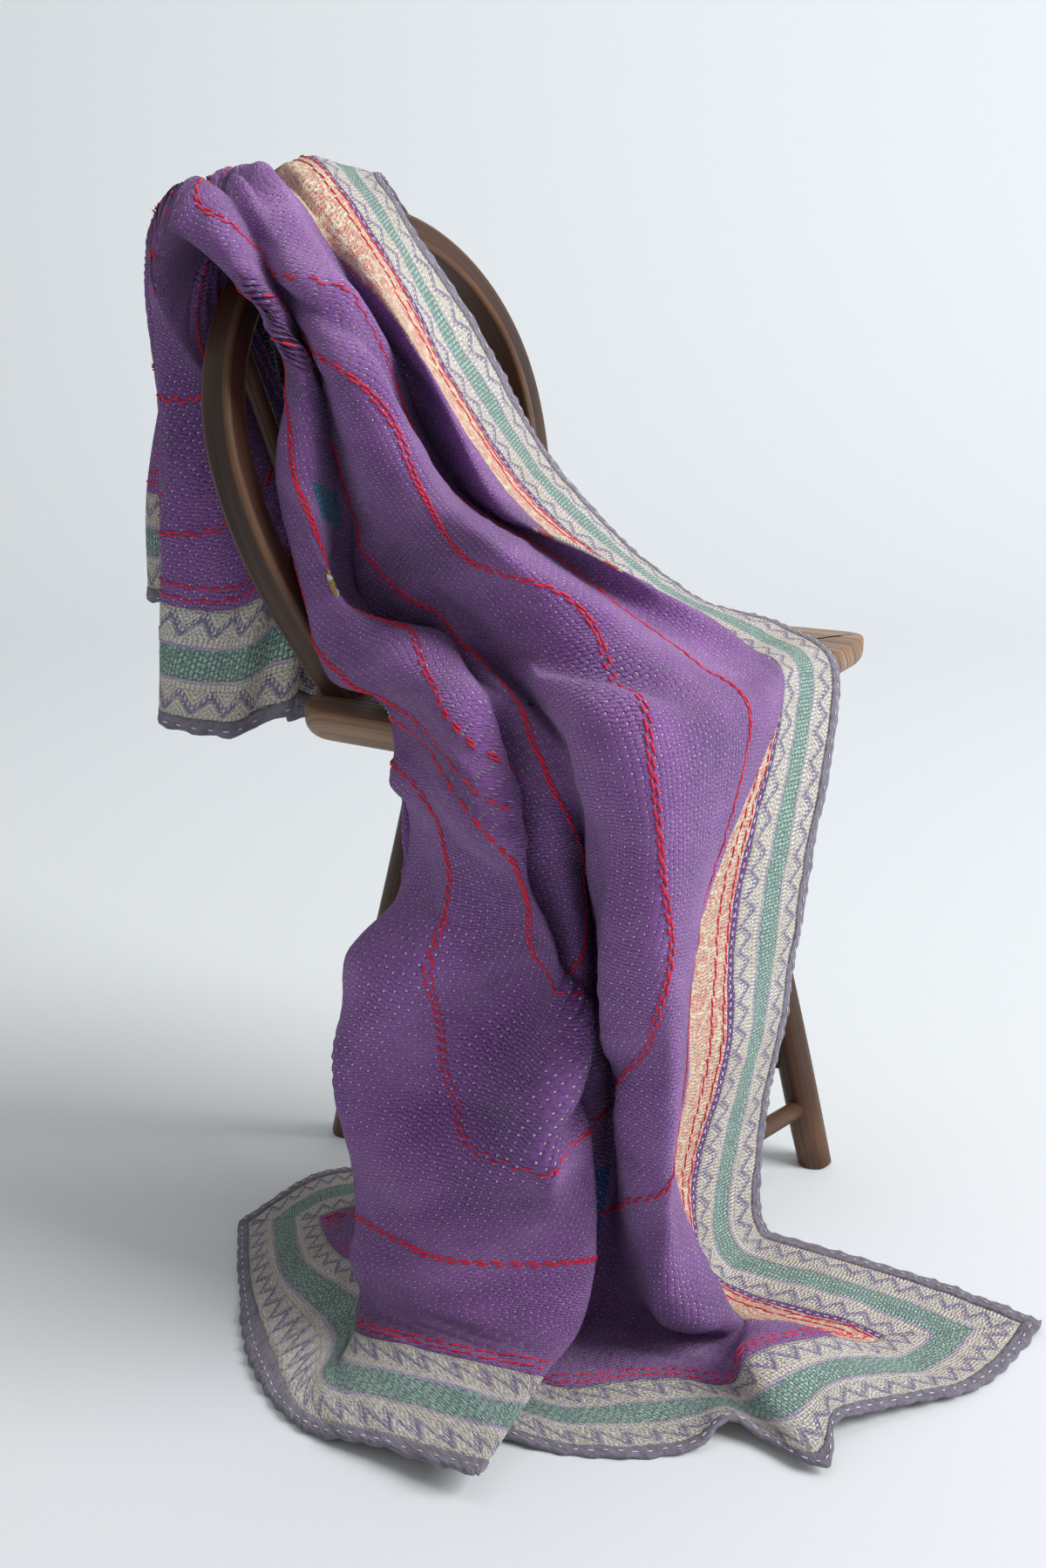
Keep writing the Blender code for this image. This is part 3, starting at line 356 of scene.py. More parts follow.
class Drape:
    """Places (s, t) of the flat quilt, in mm, laid over the chair and the floor."""

    reach = 6.0             # the cloth's facing is taken over this distance
    floor_clear = 1.4       # height of the cloth's middle where it lies on the floor

    def __init__(self, sizes):
        self.wide, self.long = sizes.width * 1000, sizes.long * 1000
        self.ripple = sizes.ripple * 1000
        self.stations = np.array([row[1] for row in SECTIONS], float)
        self.rows = np.array([self.with_places(row[2]) for row in SECTIONS])

    def with_places(self, points):
        """Adds each fold's distance from the left edge; the tucked part takes what is left."""
        roll = FOLDS.index("roll")
        places = [self.wide]
        for a, b in zip(points[:roll:-1], points[-2:roll - 1:-1]):
            places.insert(0, places[0] - math.dist(a, b))
        hidden = [0.0]
        for a, b in zip(points[:roll], points[1:roll + 1]):
            hidden.append(hidden[-1] + math.dist(a, b))
        scale = places[0] / hidden[-1]
        places = [h * scale for h in hidden[:-1]] + places
        return [[*point, place] for point, place in zip(points, places)]

    def place(self, s, t):
        """Places of the smooth drape, in metres."""
        keys = np.broadcast_to(self.stations, (len(t), len(self.stations)))
        folds = smooth_through(keys, lambda j: self.rows[j], t)
        spot = np.arange(len(s))
        points = smooth_through(folds[..., 3], lambda j: folds[spot, j, :3], s)
        for _, s0, t0, across, before, after, shift in PULLS:
            reach = np.where(t < t0, before, after)
            share = np.exp(-((s - s0) / across) ** 2 - ((t - t0) / reach) ** 2)
            points = points + share[:, None] * np.array(shift)
        return points / 1000 + CENTRE

    def ways(self, s, t):
        """Unit directions across and along the cloth, the way it faces, and its slack.

        The slack is 1 where the drape keeps the cloth's length, less where folds hide some.
        """
        s0, s1 = np.maximum(s - self.reach, 0), np.minimum(s + self.reach, self.wide)
        t0, t1 = np.maximum(t - self.reach, 0), np.minimum(t + self.reach, self.long)
        across = self.place(s1, t) - self.place(s0, t)
        along = self.place(s, t1) - self.place(s, t0)
        facing = np.cross(across, along)
        wide, long = (np.linalg.norm(way, axis=1) * 1000 for way in (across, along))
        slack = np.clip(np.minimum(wide / (s1 - s0), long / (t1 - t0)), 0.0, 1.0)
        unit = [way / np.linalg.norm(way, axis=1)[:, None] for way in (across, along, facing)]
        return *unit, slack

    def relief(self, s, t, slack):
        """Height in mm of wrinkles and creases above the smooth drape."""
        swell = soft_noise(s, t, 46, 70, seed=3) * 0.8 + soft_noise(s, t, 21, 34, seed=4) * 0.55
        swell += soft_noise(s, t, 13, 10, seed=5) * 0.38 * slack
        height = swell * self.ripple * slack
        for _, spacing, rise, s0, t0, s1, t1 in TUCKED_PLEATS:
            inside = np.minimum(np.minimum(s - s0, s1 - s), np.minimum(t - t0, t1 - t))
            pleats = np.sin(math.tau * s / spacing + 1.5 * soft_noise(s, t, 90, 120, seed=6))
            height += pleats * rise * np.clip(inside / TUCKED_FADE, 0, 1)
        for _, width, rise, line in CREASES:
            far, share = self.from_line(s + 4.0 * soft_noise(s, t, 45, 45, seed=9), t, line)
            taper = np.clip(3.2 * np.minimum(share, 1 - share), 0, 1)
            height += rise * taper * taper * (3 - 2 * taper) * np.exp(-(far / width) ** 2)
        return height * np.clip(slack * 1.4, 0.25, 1.0)

    def from_line(self, s, t, line):
        """Distance from a line of flat places, and how far along it the nearest place is."""
        knots = np.array(line, float)
        runs = np.linalg.norm(np.diff(knots, axis=0), axis=1)
        best, share, done = np.full(len(s), np.inf), np.zeros(len(s)), 0.0
        for (s0, t0), (s1, t1), run in zip(knots, knots[1:], runs):
            down = ((s - s0) * (s1 - s0) + (t - t0) * (t1 - t0)) / run
            down = np.clip(down, 0, run)
            far = np.hypot(s - s0 - down * (s1 - s0) / run, t - t0 - down * (t1 - t0) / run)
            nearer = far < best
            best = np.where(nearer, far, best)
            share = np.where(nearer, (done + down) / runs.sum(), share)
            done += run
        return best, share

    def lay(self, s, t, lift=0.0):
        """Places on the wrinkled cloth, lifted off its middle by lift mm."""
        s, t = np.broadcast_arrays(np.asarray(s, float), np.asarray(t, float))
        points = self.place(s, t)
        facing, slack = self.ways(s, t)[2:]
        points = points + facing * ((self.relief(s, t, slack) + lift) / 1000)[:, None]
        points[:, 2] = np.maximum(points[:, 2], self.floor_clear / 1000)
        return points


# ---------------------------------------------------------------- mesh helpers
def finish(name, mesh, nodes, materials):
    """Object of a finished bmesh that rides on the body and stands for CAD nodes."""
    data = bpy.data.meshes.new(name)
    mesh.to_mesh(data)
    mesh.free()
    for material in materials:
        data.materials.append(material)
    data.polygons.foreach_set("use_smooth", [True] * len(data.polygons))
    piece = bpy.data.objects.new(name, data)
    bpy.context.scene.collection.objects.link(piece)
    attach(piece, BODY)
    if nodes:
        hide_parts(*nodes)
    return piece


def cloth_grid(mesh, columns, rows, flat_place):
    """Adds a grid whose corner (u, v), from 0 to 1, lies at flat_place(u, v) on the cloth.

    Returns the new vertices and their places s and t.
    """
    made = bmesh.ops.create_grid(mesh, x_segments=columns, y_segments=rows, size=0.5)
    corners = np.array([vert.co[:2] for vert in made["verts"]]) + 0.5
    s, t = flat_place(corners[:, 0], corners[:, 1])
    return made["verts"], s, t


def drape_sheet(name, grids, drape, sizes, nodes, materials, lift=0.0, height=None):
    """Sheet of cloth from grids of flat places, wrinkled, laid on the drape and thickened."""
    mesh = bmesh.new()
    flat = mesh.loops.layers.uv.new("flat")
    for columns, rows, flat_place in grids:
        verts, s, t = cloth_grid(mesh, columns, rows, flat_place)
        extra = lift if height is None else lift + height(s, t)
        places = drape.lay(s, t, extra)
        for vert, place, a, b in zip(verts, places, s, t):
            vert.co = place
            for loop in vert.link_loops:
                loop[flat].uv = (a / 1000, b / 1000)
    bmesh.ops.remove_doubles(mesh, verts=mesh.verts, dist=0.00002)
    piece = finish(name, mesh, nodes, materials)
    layers = piece.modifiers.new("layers", "SOLIDIFY")
    layers.thickness = sizes.thickness
    layers.offset = 0.0
    layers.use_even_offset = False
    layers.material_offset = 1
    layers.material_offset_rim = 0
    return piece


# ---------------------------------------------------------------- materials
# what the pieces' cottons share, then how deep their puckers go, in metres
COTTON = {"Specular IOR Level": 0.25, "Sheen Weight": 0.12, "Sheen Roughness": 0.5}
FIELD_DEPTH, PIECED_DEPTH, TAPE_DEPTH = 0.0022, 0.0019, 0.0016
THREAD_DEPTH, GRAIN_DEPTH, PAPER_DEPTH = 0.0003, 0.0005, 0.0001
RUST_TICKS, BORDER_STITCHES, LINING_STITCHES = map(linear, ("B5523A", "EFEBE2", "EDE8E0"))
# the lining's print: share of its flowers or leaves from which each colour is used
LINING_GROUND, FLOWER_RING, FLOWER_HEART = map(linear, ("E4DFD2", "EFEADF", "D98A3A"))
FLOWERS = ((0.0, "23222B"), (0.22, "9FA043"), (0.45, "C2362F"), (0.62, "D98A3A"), (0.8, "C9B33F"))
LEAVES = ((0.0, "E4DFD2"), (0.5, "7F8A3C"), (0.68, "2A2A30"), (0.82, "D8695A"))


def rgba(value):
    return (*value, 1.0)


def shades(value, *parts):
    """The colour made darker or paler by each of parts."""
    return [tuple(part * c for c in value) for part in parts]


class Bench:
    """A new material and its nodes."""

    def __init__(self, name):
        self.material = bpy.data.materials.new(name)
        self.material.use_nodes = True
        self.tree = self.material.node_tree
        self.shader = self.tree.nodes["Principled BSDF"]

    def add(self, kind, *inputs, out=0, stops=(), stepped=False, **settings):
        """Adds a node with its inputs in order, values or outputs to link; gives an output.

        A colour ramp takes stops, its (place, colour or grey) pairs, stepped or blended.
        """
        new = self.tree.nodes.new("ShaderNode" + kind)
        for key, value in settings.items():
            setattr(new, key, value)
        for socket, value in zip([socket for socket in new.inputs if socket.enabled], inputs):
            if isinstance(value, bpy.types.NodeSocket):
                self.tree.links.new(value, socket)
            elif value is not None:
                socket.default_value = value
        if stops:
            band = new.color_ramp
            band.interpolation = "CONSTANT" if stepped else "LINEAR"
            while len(band.elements) < len(stops):
                band.elements.new(1.0)
            for element, (place, shade) in zip(band.elements, stops):
                element.position = place
                element.color = rgba(shade if isinstance(shade, tuple) else (shade,) * 3)
        return [socket for socket in new.outputs if socket.enabled][out]

    def done(self, base, roughness, height, depth, own):
        """Links colour, roughness and relief, height times depth in metres; own are constants."""
        self.tree.links.new(base, self.shader.inputs["Base Color"])
        self.tree.links.new(roughness, self.shader.inputs["Roughness"])
        relief = self.add("Bump", 1.0, depth, None, height)
        self.tree.links.new(relief, self.shader.inputs["Normal"])
        for name, value in own.items():
            self.shader.inputs[name].default_value = value
        return self.material


def flat_mm(bench, wander, spacing):
    """Place on the flat cloth in mm, wandering by about wander mm every spacing mm."""
    flat = bench.add("VectorMath", bench.add("UVMap", uv_map="flat"), 1000.0, operation="SCALE")
    drift = bench.add("TexNoise", flat, 1 / spacing, 1.0, out=1)
    drift = bench.add("VectorMath", drift, (0.5, 0.5, 0.5), operation="SUBTRACT")
    drift = bench.add("VectorMath", drift, 2.0 * wander, operation="SCALE")
    return flat, bench.add("VectorMath", flat, drift, operation="ADD")


def running_stitch(bench, across, along, half_width, half_length, row=4.4, pitch=5.4):
    """Staggered rows of running stitches that run along the cloth.

    Gives the thread mask, the distance from the nearest stitch in its own half sizes, the
    ridge between two stitches, and a random value for each stitch.
    """
    rows = bench.add("Math", across, row, operation="DIVIDE")
    row_number = bench.add("Math", rows, operation="FLOOR")
    stagger = bench.add("TexWhiteNoise", row_number, noise_dimensions="1D")
    stagger = bench.add("Math", stagger, 0.5, bench.add("Math", row_number, 0.5,
                        operation="MULTIPLY"), operation="MULTIPLY_ADD")
    run = bench.add("Math", along, 1 / pitch, stagger, operation="MULTIPLY_ADD")
    number = bench.add("Math", run, operation="FLOOR")
    off = bench.add("Math", bench.add("Math", rows, operation="FRACT"), 0.5, operation="SUBTRACT")
    off = bench.add("Math", off, row / half_width, operation="MULTIPLY")
    down = bench.add("Math", bench.add("Math", run, operation="FRACT"), 0.5, operation="SUBTRACT")
    down_scaled = bench.add("Math", down, pitch / half_length, operation="MULTIPLY")
    reach = bench.add("VectorMath", bench.add("CombineXYZ", off, down_scaled), operation="LENGTH")
    thread = bench.add("MapRange", reach, 0.8, 1.15, 1.0, 0.0, interpolation_type="SMOOTHSTEP")
    ridge = bench.add("Math", bench.add("Math", down, 2 * math.tau, operation="MULTIPLY"),
                      operation="COSINE")
    chance = bench.add("TexWhiteNoise", bench.add("CombineXYZ", row_number, number),
                       noise_dimensions="2D")
    return thread, reach, ridge, chance


def washed_cotton(bench, flat, thread, reach, ridge, pucker=1.0):
    """Relief of thin cotton drawn up by its stitches, from about 0 to 1."""
    pit = bench.add("MapRange", reach, 0.6, 3.2, 0.0, 1.0, interpolation_type="SMOOTHSTEP")
    crumple = bench.add("TexNoise", bench.add("Mapping", flat, (0, 0, 0), (0, 0, 0),
                        (0.22, 0.42, 1.0)), 1.0, 3.0, 0.6)
    height = bench.add("Math", pit, 0.55 * pucker, crumple, operation="MULTIPLY_ADD")
    height = bench.add("Math", ridge, -0.26 * pucker, height, operation="MULTIPLY_ADD")
    height = bench.add("Math", thread, 0.45, height, operation="MULTIPLY_ADD")
    # threads of the plain weave, drawn at 1.1 mm where the real ones are 0.4 mm
    weave = bench.add("TexNoise", bench.add("Mapping", flat, (0, 0, 0), (0, 0, 0),
                      (0.9, 0.9, 1.0)), 1.0, 1.0)
    return bench.add("Math", weave, 0.35, height, operation="MULTIPLY_ADD")


def purple_cotton(colours):
    """Old overdyed cotton, close-stitched: matt, mottled, rubbed pale in fine patches."""
    b = Bench("washed_purple_cotton")
    flat, wandered = flat_mm(b, 1.4, 34)
    x, y = (b.add("SeparateXYZ", wandered, out=k) for k in (0, 1))
    thread, reach, ridge, chance = running_stitch(b, x, y, 0.44, 0.82)
    height = washed_cotton(b, flat, thread, reach, ridge)
    # slow drift of the dye, then fine mottle where the nap has worn
    drift = b.add("TexNoise", flat, 1 / 95, 3.0, 0.6)
    ground = b.add("ValToRGB", drift, stops=((0.3, tuple(colours.purple_deep)),
                                             (0.52, tuple(colours.purple)),
                                             (0.8, tuple(colours.purple_pale))))
    mottle = b.add("TexNoise", flat, 1 / 2.6, 2.0, 0.7)
    mottle = b.add("MapRange", mottle, 0.35, 0.72, 0.0, 0.42)
    ground = b.add("Mix", mottle, ground, rgba(colours.purple_pale), data_type="RGBA")
    # painted shade: the cloth darkens towards the deep purple in the sunken pit round each stitch
    low = b.add("MapRange", reach, 0.9, 2.2, 0.45, 0.0, interpolation_type="SMOOTHSTEP")
    ground = b.add("Mix", low, ground, rgba(colours.purple_deep), data_type="RGBA")
    for name, s0, t0, half_s, half_t, turn in PATCHES:
        shade = colours.royal if name == "royal blue" else colours.teal
        local = b.add("VectorMath", wandered, (s0, t0, 0.0), operation="SUBTRACT")
        local = b.add("VectorRotate", local, (0, 0, 0), (0, 0, 1), math.radians(-turn))
        local = b.add("VectorMath", local, (1 / half_s, 1 / half_t, 0.0), operation="MULTIPLY")
        local = b.add("VectorMath", local, operation="ABSOLUTE")
        far = b.add("Math", b.add("SeparateXYZ", local, out=0), b.add("SeparateXYZ", local, out=1),
                    operation="MAXIMUM")
        inside = b.add("MapRange", far, 0.985, 1.0, 1.0, 0.0)
        worn, = shades(shade, 1.35)
        patch = b.add("Mix", mottle, rgba(shade), rgba(worn), data_type="RGBA")
        ground = b.add("Mix", inside, ground, patch, data_type="RGBA")
    shown = b.add("MapRange", chance, 0.0, 1.0, 0.35, 1.0)
    shown = b.add("Math", thread, shown, operation="MULTIPLY")
    base = b.add("Mix", shown, ground, rgba(colours.thread), data_type="RGBA")
    rough = b.add("MapRange", mottle, 0.0, 0.4, 0.82, 0.95)
    return b.done(base, rough, height, FIELD_DEPTH,
                  {**COTTON, "Sheen Weight": 0.18, "Sheen Roughness": 0.55})


ZIGZAG = 9.4        # mm from a zigzag's foot to its peak, along the border


def woven_border(colours, sizes):
    """Jacquard sari border: cream ground with violet zigzags either side of a green band."""
    b = Bench("jacquard_border_cotton")
    flat, wandered = flat_mm(b, 0.7, 26)
    s, t = (b.add("SeparateXYZ", wandered, out=k) for k in (0, 1))
    line, border = quilt_lines(sizes), sizes.border * 1000
    from_side = b.add("Math", s, b.add("Math", line.wide, s, operation="SUBTRACT"),
                      operation="MINIMUM")
    from_end = b.add("Math", t, b.add("Math", line.long, t, operation="SUBTRACT"),
                     operation="MINIMUM")
    off = b.add("Math", b.add("Math", from_side, from_end, operation="MINIMUM"), line.bind,
                operation="SUBTRACT")
    on_end = b.add("Math", from_end, from_side, operation="LESS_THAN")
    along = b.add("Mix", on_end, t, s)
    share = b.add("Math", off, border, operation="DIVIDE")
    cream, lilac, leaf = (tuple(shade) for shade in (colours.cream, colours.lilac, colours.leaf))

    def bands(*stops, stepped=True):
        """Colours or greys that change at the given mm from the binding."""
        return b.add("ValToRGB", share, stops=[(mm / border, shade) for mm, shade in stops],
                     stepped=stepped)

    def repeat(spacing, part):
        """1 over the given part of every spacing mm along the border."""
        turn = b.add("Math", b.add("Math", along, 1 / spacing, operation="MULTIPLY"),
                     operation="FRACT")
        return b.add("Math", turn, part, operation="LESS_THAN")

    ground = bands((0, cream), (25, lilac), (27.5, leaf), (49.5, lilac), (52, cream))
    in_rope = bands((0, 1.0), (2.5, 0.0), (20.5, 1.0), (25, 0.0), (52, 1.0), (57.5, 0.0),
                    (76, 1.0))
    rung = b.add("Math", repeat(2.9, 0.5), in_rope, operation="MULTIPLY")
    # place across a zigzag band, from 0 to 1
    rise = bands((0, 0.0), (2.5, 0.0), (20.5, 1.0), (20.6, 0.0), (57.5, 0.0), (76, 1.0),
                 (76.1, 0.0), stepped=False)
    in_zigzag = bands((0, 0.0), (2.5, 1.0), (20.5, 0.0), (57.5, 1.0), (76, 0.0))
    peak = b.add("Math", b.add("Math", along, ZIGZAG, operation="PINGPONG"), 1.2,
                 operation="SNAP")
    peak = b.add("Math", peak, 0.72 / ZIGZAG, operation="MULTIPLY")
    level = b.add("Math", rise, peak, operation="SUBTRACT")
    thin = b.add("Math", b.add("Math", level, 0.1, 0.1, operation="COMPARE"), in_zigzag,
                 operation="MULTIPLY")
    # leafy teeth stand out from the zigzag, and nested ribs follow it
    fringe = b.add("Math", b.add("Math", level, 0.29, 0.14, operation="COMPARE"),
                   repeat(2.6, 0.5), operation="MULTIPLY")
    fringe = b.add("Math", fringe, in_zigzag, operation="MULTIPLY")
    ribs = b.add("Math", b.add("Math", level, 4.4, operation="MULTIPLY"), operation="FRACT")
    ribs = b.add("Math", b.add("Math", ribs, 0.5, operation="GREATER_THAN"), in_zigzag,
                 operation="MULTIPLY")
    wear = b.add("TexNoise", flat, 1 / 6.5, 3.0, 0.7)
    kept = b.add("MapRange", wear, 0.34, 0.5, 0.35, 0.95)
    violet = b.add("Math", b.add("Math", thin, fringe, operation="MAXIMUM"), kept,
                   operation="MULTIPLY")
    soil = b.add("MapRange", b.add("TexNoise", flat, 1 / 60, 2.0), 0.35, 0.7, 0.0, 0.6)
    green = bands((0, 0.0), (27.5, 1.0), (49.5, 0.0))
    soil = b.add("Math", soil, b.add("Math", 1.0, green, operation="SUBTRACT"),
                 operation="MULTIPLY")
    ground = b.add("Mix", soil, ground, rgba(colours.cream_dark), data_type="RGBA")
    # painted shade: the sunken ribs and rungs of the weave are darkened to a deep old cream
    sunk_shade = b.add("Math", b.add("Math", ribs, 0.7, operation="MULTIPLY"),
                 b.add("Math", rung, 0.65, operation="MULTIPLY"), operation="MAXIMUM")
    hollow, = shades(colours.cream_dark, 0.55)
    ground = b.add("Mix", sunk_shade, ground, rgba(hollow), data_type="RGBA")
    ground = b.add("Mix", violet, ground, rgba(colours.violet_grey), data_type="RGBA")
    # pale floats lie in staggered columns across the green band
    floats, _, _, luck = running_stitch(b, along, off, 1.05, 1.85, 2.7, 4.4)
    pale = b.add("Math", b.add("Math", floats, green, operation="MULTIPLY"),
                 b.add("MapRange", luck, 0.0, 0.8, 0.3, 1.0), operation="MULTIPLY")
    ground = b.add("Mix", pale, ground, rgba(colours.mint), data_type="RGBA")
    # rust-red ticks down one edge of the green band and of the inner zigzags
    ticks = b.add("Math", bands((0, 0.0), (28, 1.0), (29.3, 0.0), (55.5, 1.0), (57, 0.0)),
                  repeat(6.3, 0.17), operation="MULTIPLY")
    ticks = b.add("Math", ticks, 0.75, operation="MULTIPLY")
    ground = b.add("Mix", ticks, ground, rgba(RUST_TICKS), data_type="RGBA")
    # quilting through it all, in the same rows as the field
    thread, reach, ridge, _ = running_stitch(b, s, t, 0.42, 0.85)
    height = washed_cotton(b, flat, thread, reach, ridge, 0.9)
    for part, rise in ((ribs, -0.3), (rung, -0.45), (pale, 0.4), (violet, 0.3)):
        height = b.add("Math", part, rise, height, operation="MULTIPLY_ADD")
    white = b.add("Math", thread, 0.8, operation="MULTIPLY")
    base = b.add("Mix", white, ground, rgba(BORDER_STITCHES), data_type="RGBA")
    rough = b.add("MapRange", wear, 0.3, 0.7, 0.75, 0.92)
    return b.done(base, rough, height, PIECED_DEPTH, {**COTTON, "Specular IOR Level": 0.28})


LIP_WIDTH = 7.5     # mm of folded purple edge beside the print


def scroll_print(colours, sizes):
    """Block-printed cotton: leafy scrolls, coral on beige and beige on coral by turns."""
    b = Bench("block_printed_coral_cotton")
    flat, wandered = flat_mm(b, 3.2, 17)
    s, t = (b.add("SeparateXYZ", wandered, out=k) for k in (0, 1))
    swirl = b.add("TexNoise", wandered, 1 / 30, 1.5, 0.5, 2.0, 1.5)
    vine = b.add("Math", b.add("Math", swirl, 9.0, operation="MULTIPLY"), 0.5,
                 operation="PINGPONG")
    vine = b.add("MapRange", vine, 0.12, 0.34, 0.0, 1.0, interpolation_type="SMOOTHSTEP")
    curls = b.add("TexVoronoi", wandered, 1 / 17, voronoi_dimensions="2D")
    petals = b.add("MapRange", b.add("Math", curls, 0.26, operation="PINGPONG"), 0.05, 0.16,
                   0.0, 1.0, interpolation_type="SMOOTHSTEP")
    turn = b.add("MapRange", b.add("TexNoise", flat, 1 / 40, 1.0), 0.46, 0.54, 0.0, 1.0)
    printed = b.add("Mix", turn, vine, petals)
    wear = b.add("TexNoise", flat, 1 / 4.2, 3.0, 0.75)
    printed = b.add("Math", printed, b.add("MapRange", wear, 0.3, 0.6, 0.3, 0.9),
                    operation="MULTIPLY")
    ground = b.add("Mix", printed, rgba(colours.beige), rgba(colours.coral), data_type="RGBA")
    # folded purple edge between the print and the border
    true_s = b.add("SeparateXYZ", flat, out=0)
    seam = (sizes.width - sizes.binding - sizes.border) * 1000
    lip = b.add("Math", true_s, seam - LIP_WIDTH, operation="GREATER_THAN")
    ground = b.add("Mix", lip, ground, rgba(colours.purple_deep), data_type="RGBA")
    thread, reach, ridge, _ = running_stitch(b, s, t, 0.42, 0.85)
    along = b.add("SeparateXYZ", flat, out=1)
    lip_run = b.add("Math", b.add("Math", along, 1 / 6.5, operation="MULTIPLY"),
                    operation="FRACT")
    lip_run = b.add("Math", lip_run, 0.45, operation="LESS_THAN")
    lip_line = b.add("Math", true_s, seam - 4.0, 0.65, operation="COMPARE")
    lip_stitch = b.add("Math", lip_run, lip_line, operation="MULTIPLY")
    white = b.add("Math", b.add("Math", thread, 0.7, operation="MULTIPLY"), lip_stitch,
                  operation="MAXIMUM")
    base = b.add("Mix", white, ground, rgba(colours.thread), data_type="RGBA")
    height = washed_cotton(b, flat, thread, reach, ridge, 0.9)
    height = b.add("Math", b.add("Math", lip, 0.8, operation="MULTIPLY"), height,
                   operation="ADD")
    rough = b.add("MapRange", wear, 0.3, 0.7, 0.78, 0.93)
    return b.done(base, rough, height, PIECED_DEPTH, COTTON)


def slate_binding(colours):
    """Folded cotton tape over the raw edge, drawn into small pleats by its stitches."""
    b = Bench("folded_slate_cotton_tape")
    flat, wandered = flat_mm(b, 0.8, 18)
    wear = b.add("TexNoise", flat, 1 / 7, 3.0, 0.7)
    base = b.add("ValToRGB", wear,
                 stops=list(zip((0.3, 0.55, 0.75), shades(colours.slate, 0.62, 1.0, 1.35))))
    pleats = b.add("TexNoise", wandered, 1 / 4.0, 2.0, 0.55)
    rough = b.add("MapRange", wear, 0.3, 0.7, 0.8, 0.92)
    return b.done(base, rough, pleats, TAPE_DEPTH, {**COTTON, "Sheen Weight": 0.15})


def reverse_print():
    """Printed cotton of the back: big loose flowers on white, pricked all over by stitches."""
    b = Bench("printed_floral_lining_cotton")
    flat, wandered = flat_mm(b, 9.0, 22)
    x, y = (b.add("SeparateXYZ", flat, out=k) for k in (0, 1))
    thread, reach, ridge, _ = running_stitch(b, x, y, 0.42, 0.85)

    def motif(spacing, channel, colours):
        """Distance from the middles of motifs spacing mm apart, and each one's own colour."""
        far, pick = (b.add("TexVoronoi", wandered, 1 / spacing, out=k, voronoi_dimensions="2D")
                     for k in (0, 1))
        stops = [(place, linear(code)) for place, code in colours]
        return far, b.add("ValToRGB", b.add("SeparateColor", pick, out=channel), stops=stops,
                          stepped=True)

    flowers, hue = motif(52, 0, FLOWERS)
    leaves, leaf_hue = motif(19, 1, LEAVES)
    base = rgba(LINING_GROUND)
    for share, shade in (
            (b.add("Math", leaves, 0.36, operation="LESS_THAN"), leaf_hue),
            (b.add("Math", flowers, 0.37, operation="LESS_THAN"), hue),
            (b.add("Math", flowers, 0.27, 0.035, operation="COMPARE"), rgba(FLOWER_RING)),
            (b.add("Math", flowers, 0.11, operation="LESS_THAN"), rgba(FLOWER_HEART)),
            (b.add("Math", thread, 0.6, operation="MULTIPLY"), rgba(LINING_STITCHES))):
        base = b.add("Mix", share, base, shade, data_type="RGBA")
    height = washed_cotton(b, flat, thread, reach, ridge)
    fade = b.add("TexNoise", flat, 1 / 30, 2.0)
    rough = b.add("MapRange", fade, 0.3, 0.7, 0.8, 0.92)
    return b.done(base, rough, height, PIECED_DEPTH, COTTON)


def plain_thread(name, shade, twist):
    """Stranded cotton: soft gleam, with its twist as fine slanting ridges."""
    b = Bench(name)
    place = b.add("TexCoord", out=3)
    strand = b.add("TexNoise", place, 1 / twist, 2.0, 0.6)
    deep, = shades(shade, 0.6)
    base = b.add("ValToRGB", strand, stops=((0.3, deep), (0.55, tuple(shade)),
                                            (0.8, tuple(min(1.0, 1.25 * c) for c in shade))))
    rough = b.add("MapRange", strand, 0.3, 0.7, 0.5, 0.7)
    return b.done(base, rough, strand, THREAD_DEPTH, {"Specular IOR Level": 0.4})


def old_wood(name, dark, body, arris, coarse):
    """Oiled oak gone dark with age: open straight grain, rubbed pale and smooth on its edges."""
    b = Bench(name)
    flat = b.add("VectorMath", b.add("UVMap", uv_map="grain"), 1000.0, operation="SCALE")
    # width and length in mm of the grain's streaks, its pores and the patina's clouds
    streaks, pores, clouds = (
        b.add("Mapping", flat, (0, 0, 0), (0, 0, 0), (1 / across, 1 / along, 1.0))
        for across, along in ((3.4, 300), (0.9, 40), (coarse, 9 * coarse)))
    grain = b.add("TexNoise", streaks, 1.0, 3.0, 0.6, 2.0, 0.3)
    pores = b.add("TexNoise", pores, 1.0, 2.0, 0.7)
    patina = b.add("TexNoise", clouds, 1.0, 2.0, 0.5)
    wood = b.add("ValToRGB", grain, stops=((0.34, tuple(dark)), (0.6, tuple(body))))
    tone = b.add("MapRange", patina, 0.35, 0.8, 0.0, 0.3)
    between = tuple(0.5 * (p + q) for p, q in zip(dark, arris))
    wood = b.add("Mix", tone, wood, rgba(between), data_type="RGBA")
    rubbed = b.add("Attribute", out=2, attribute_name="rubbed")
    scuffs = b.add("MapRange", pores, 0.35, 0.65, 0.35, 1.0)
    rubbed = b.add("Math", rubbed, scuffs, operation="MULTIPLY")
    base = b.add("Mix", rubbed, wood, rgba(arris), data_type="RGBA")
    rough = b.add("MapRange", grain, 0.3, 0.7, 0.62, 0.42)
    height = b.add("Math", pores, 0.6, grain, operation="MULTIPLY_ADD")
    return b.done(base, rough, height, GRAIN_DEPTH,
                  {"Specular IOR Level": 0.45, "Coat Weight": 0.08, "Coat Roughness": 0.4})


# ---------------------------------------------------------------- quilt pieces
def cells(span, cell):
    """How many mesh cells of about that size a span takes; both in mm."""
    return max(2, round(span / cell))


Lines = namedtuple("Lines", "wide long bind seam strip")


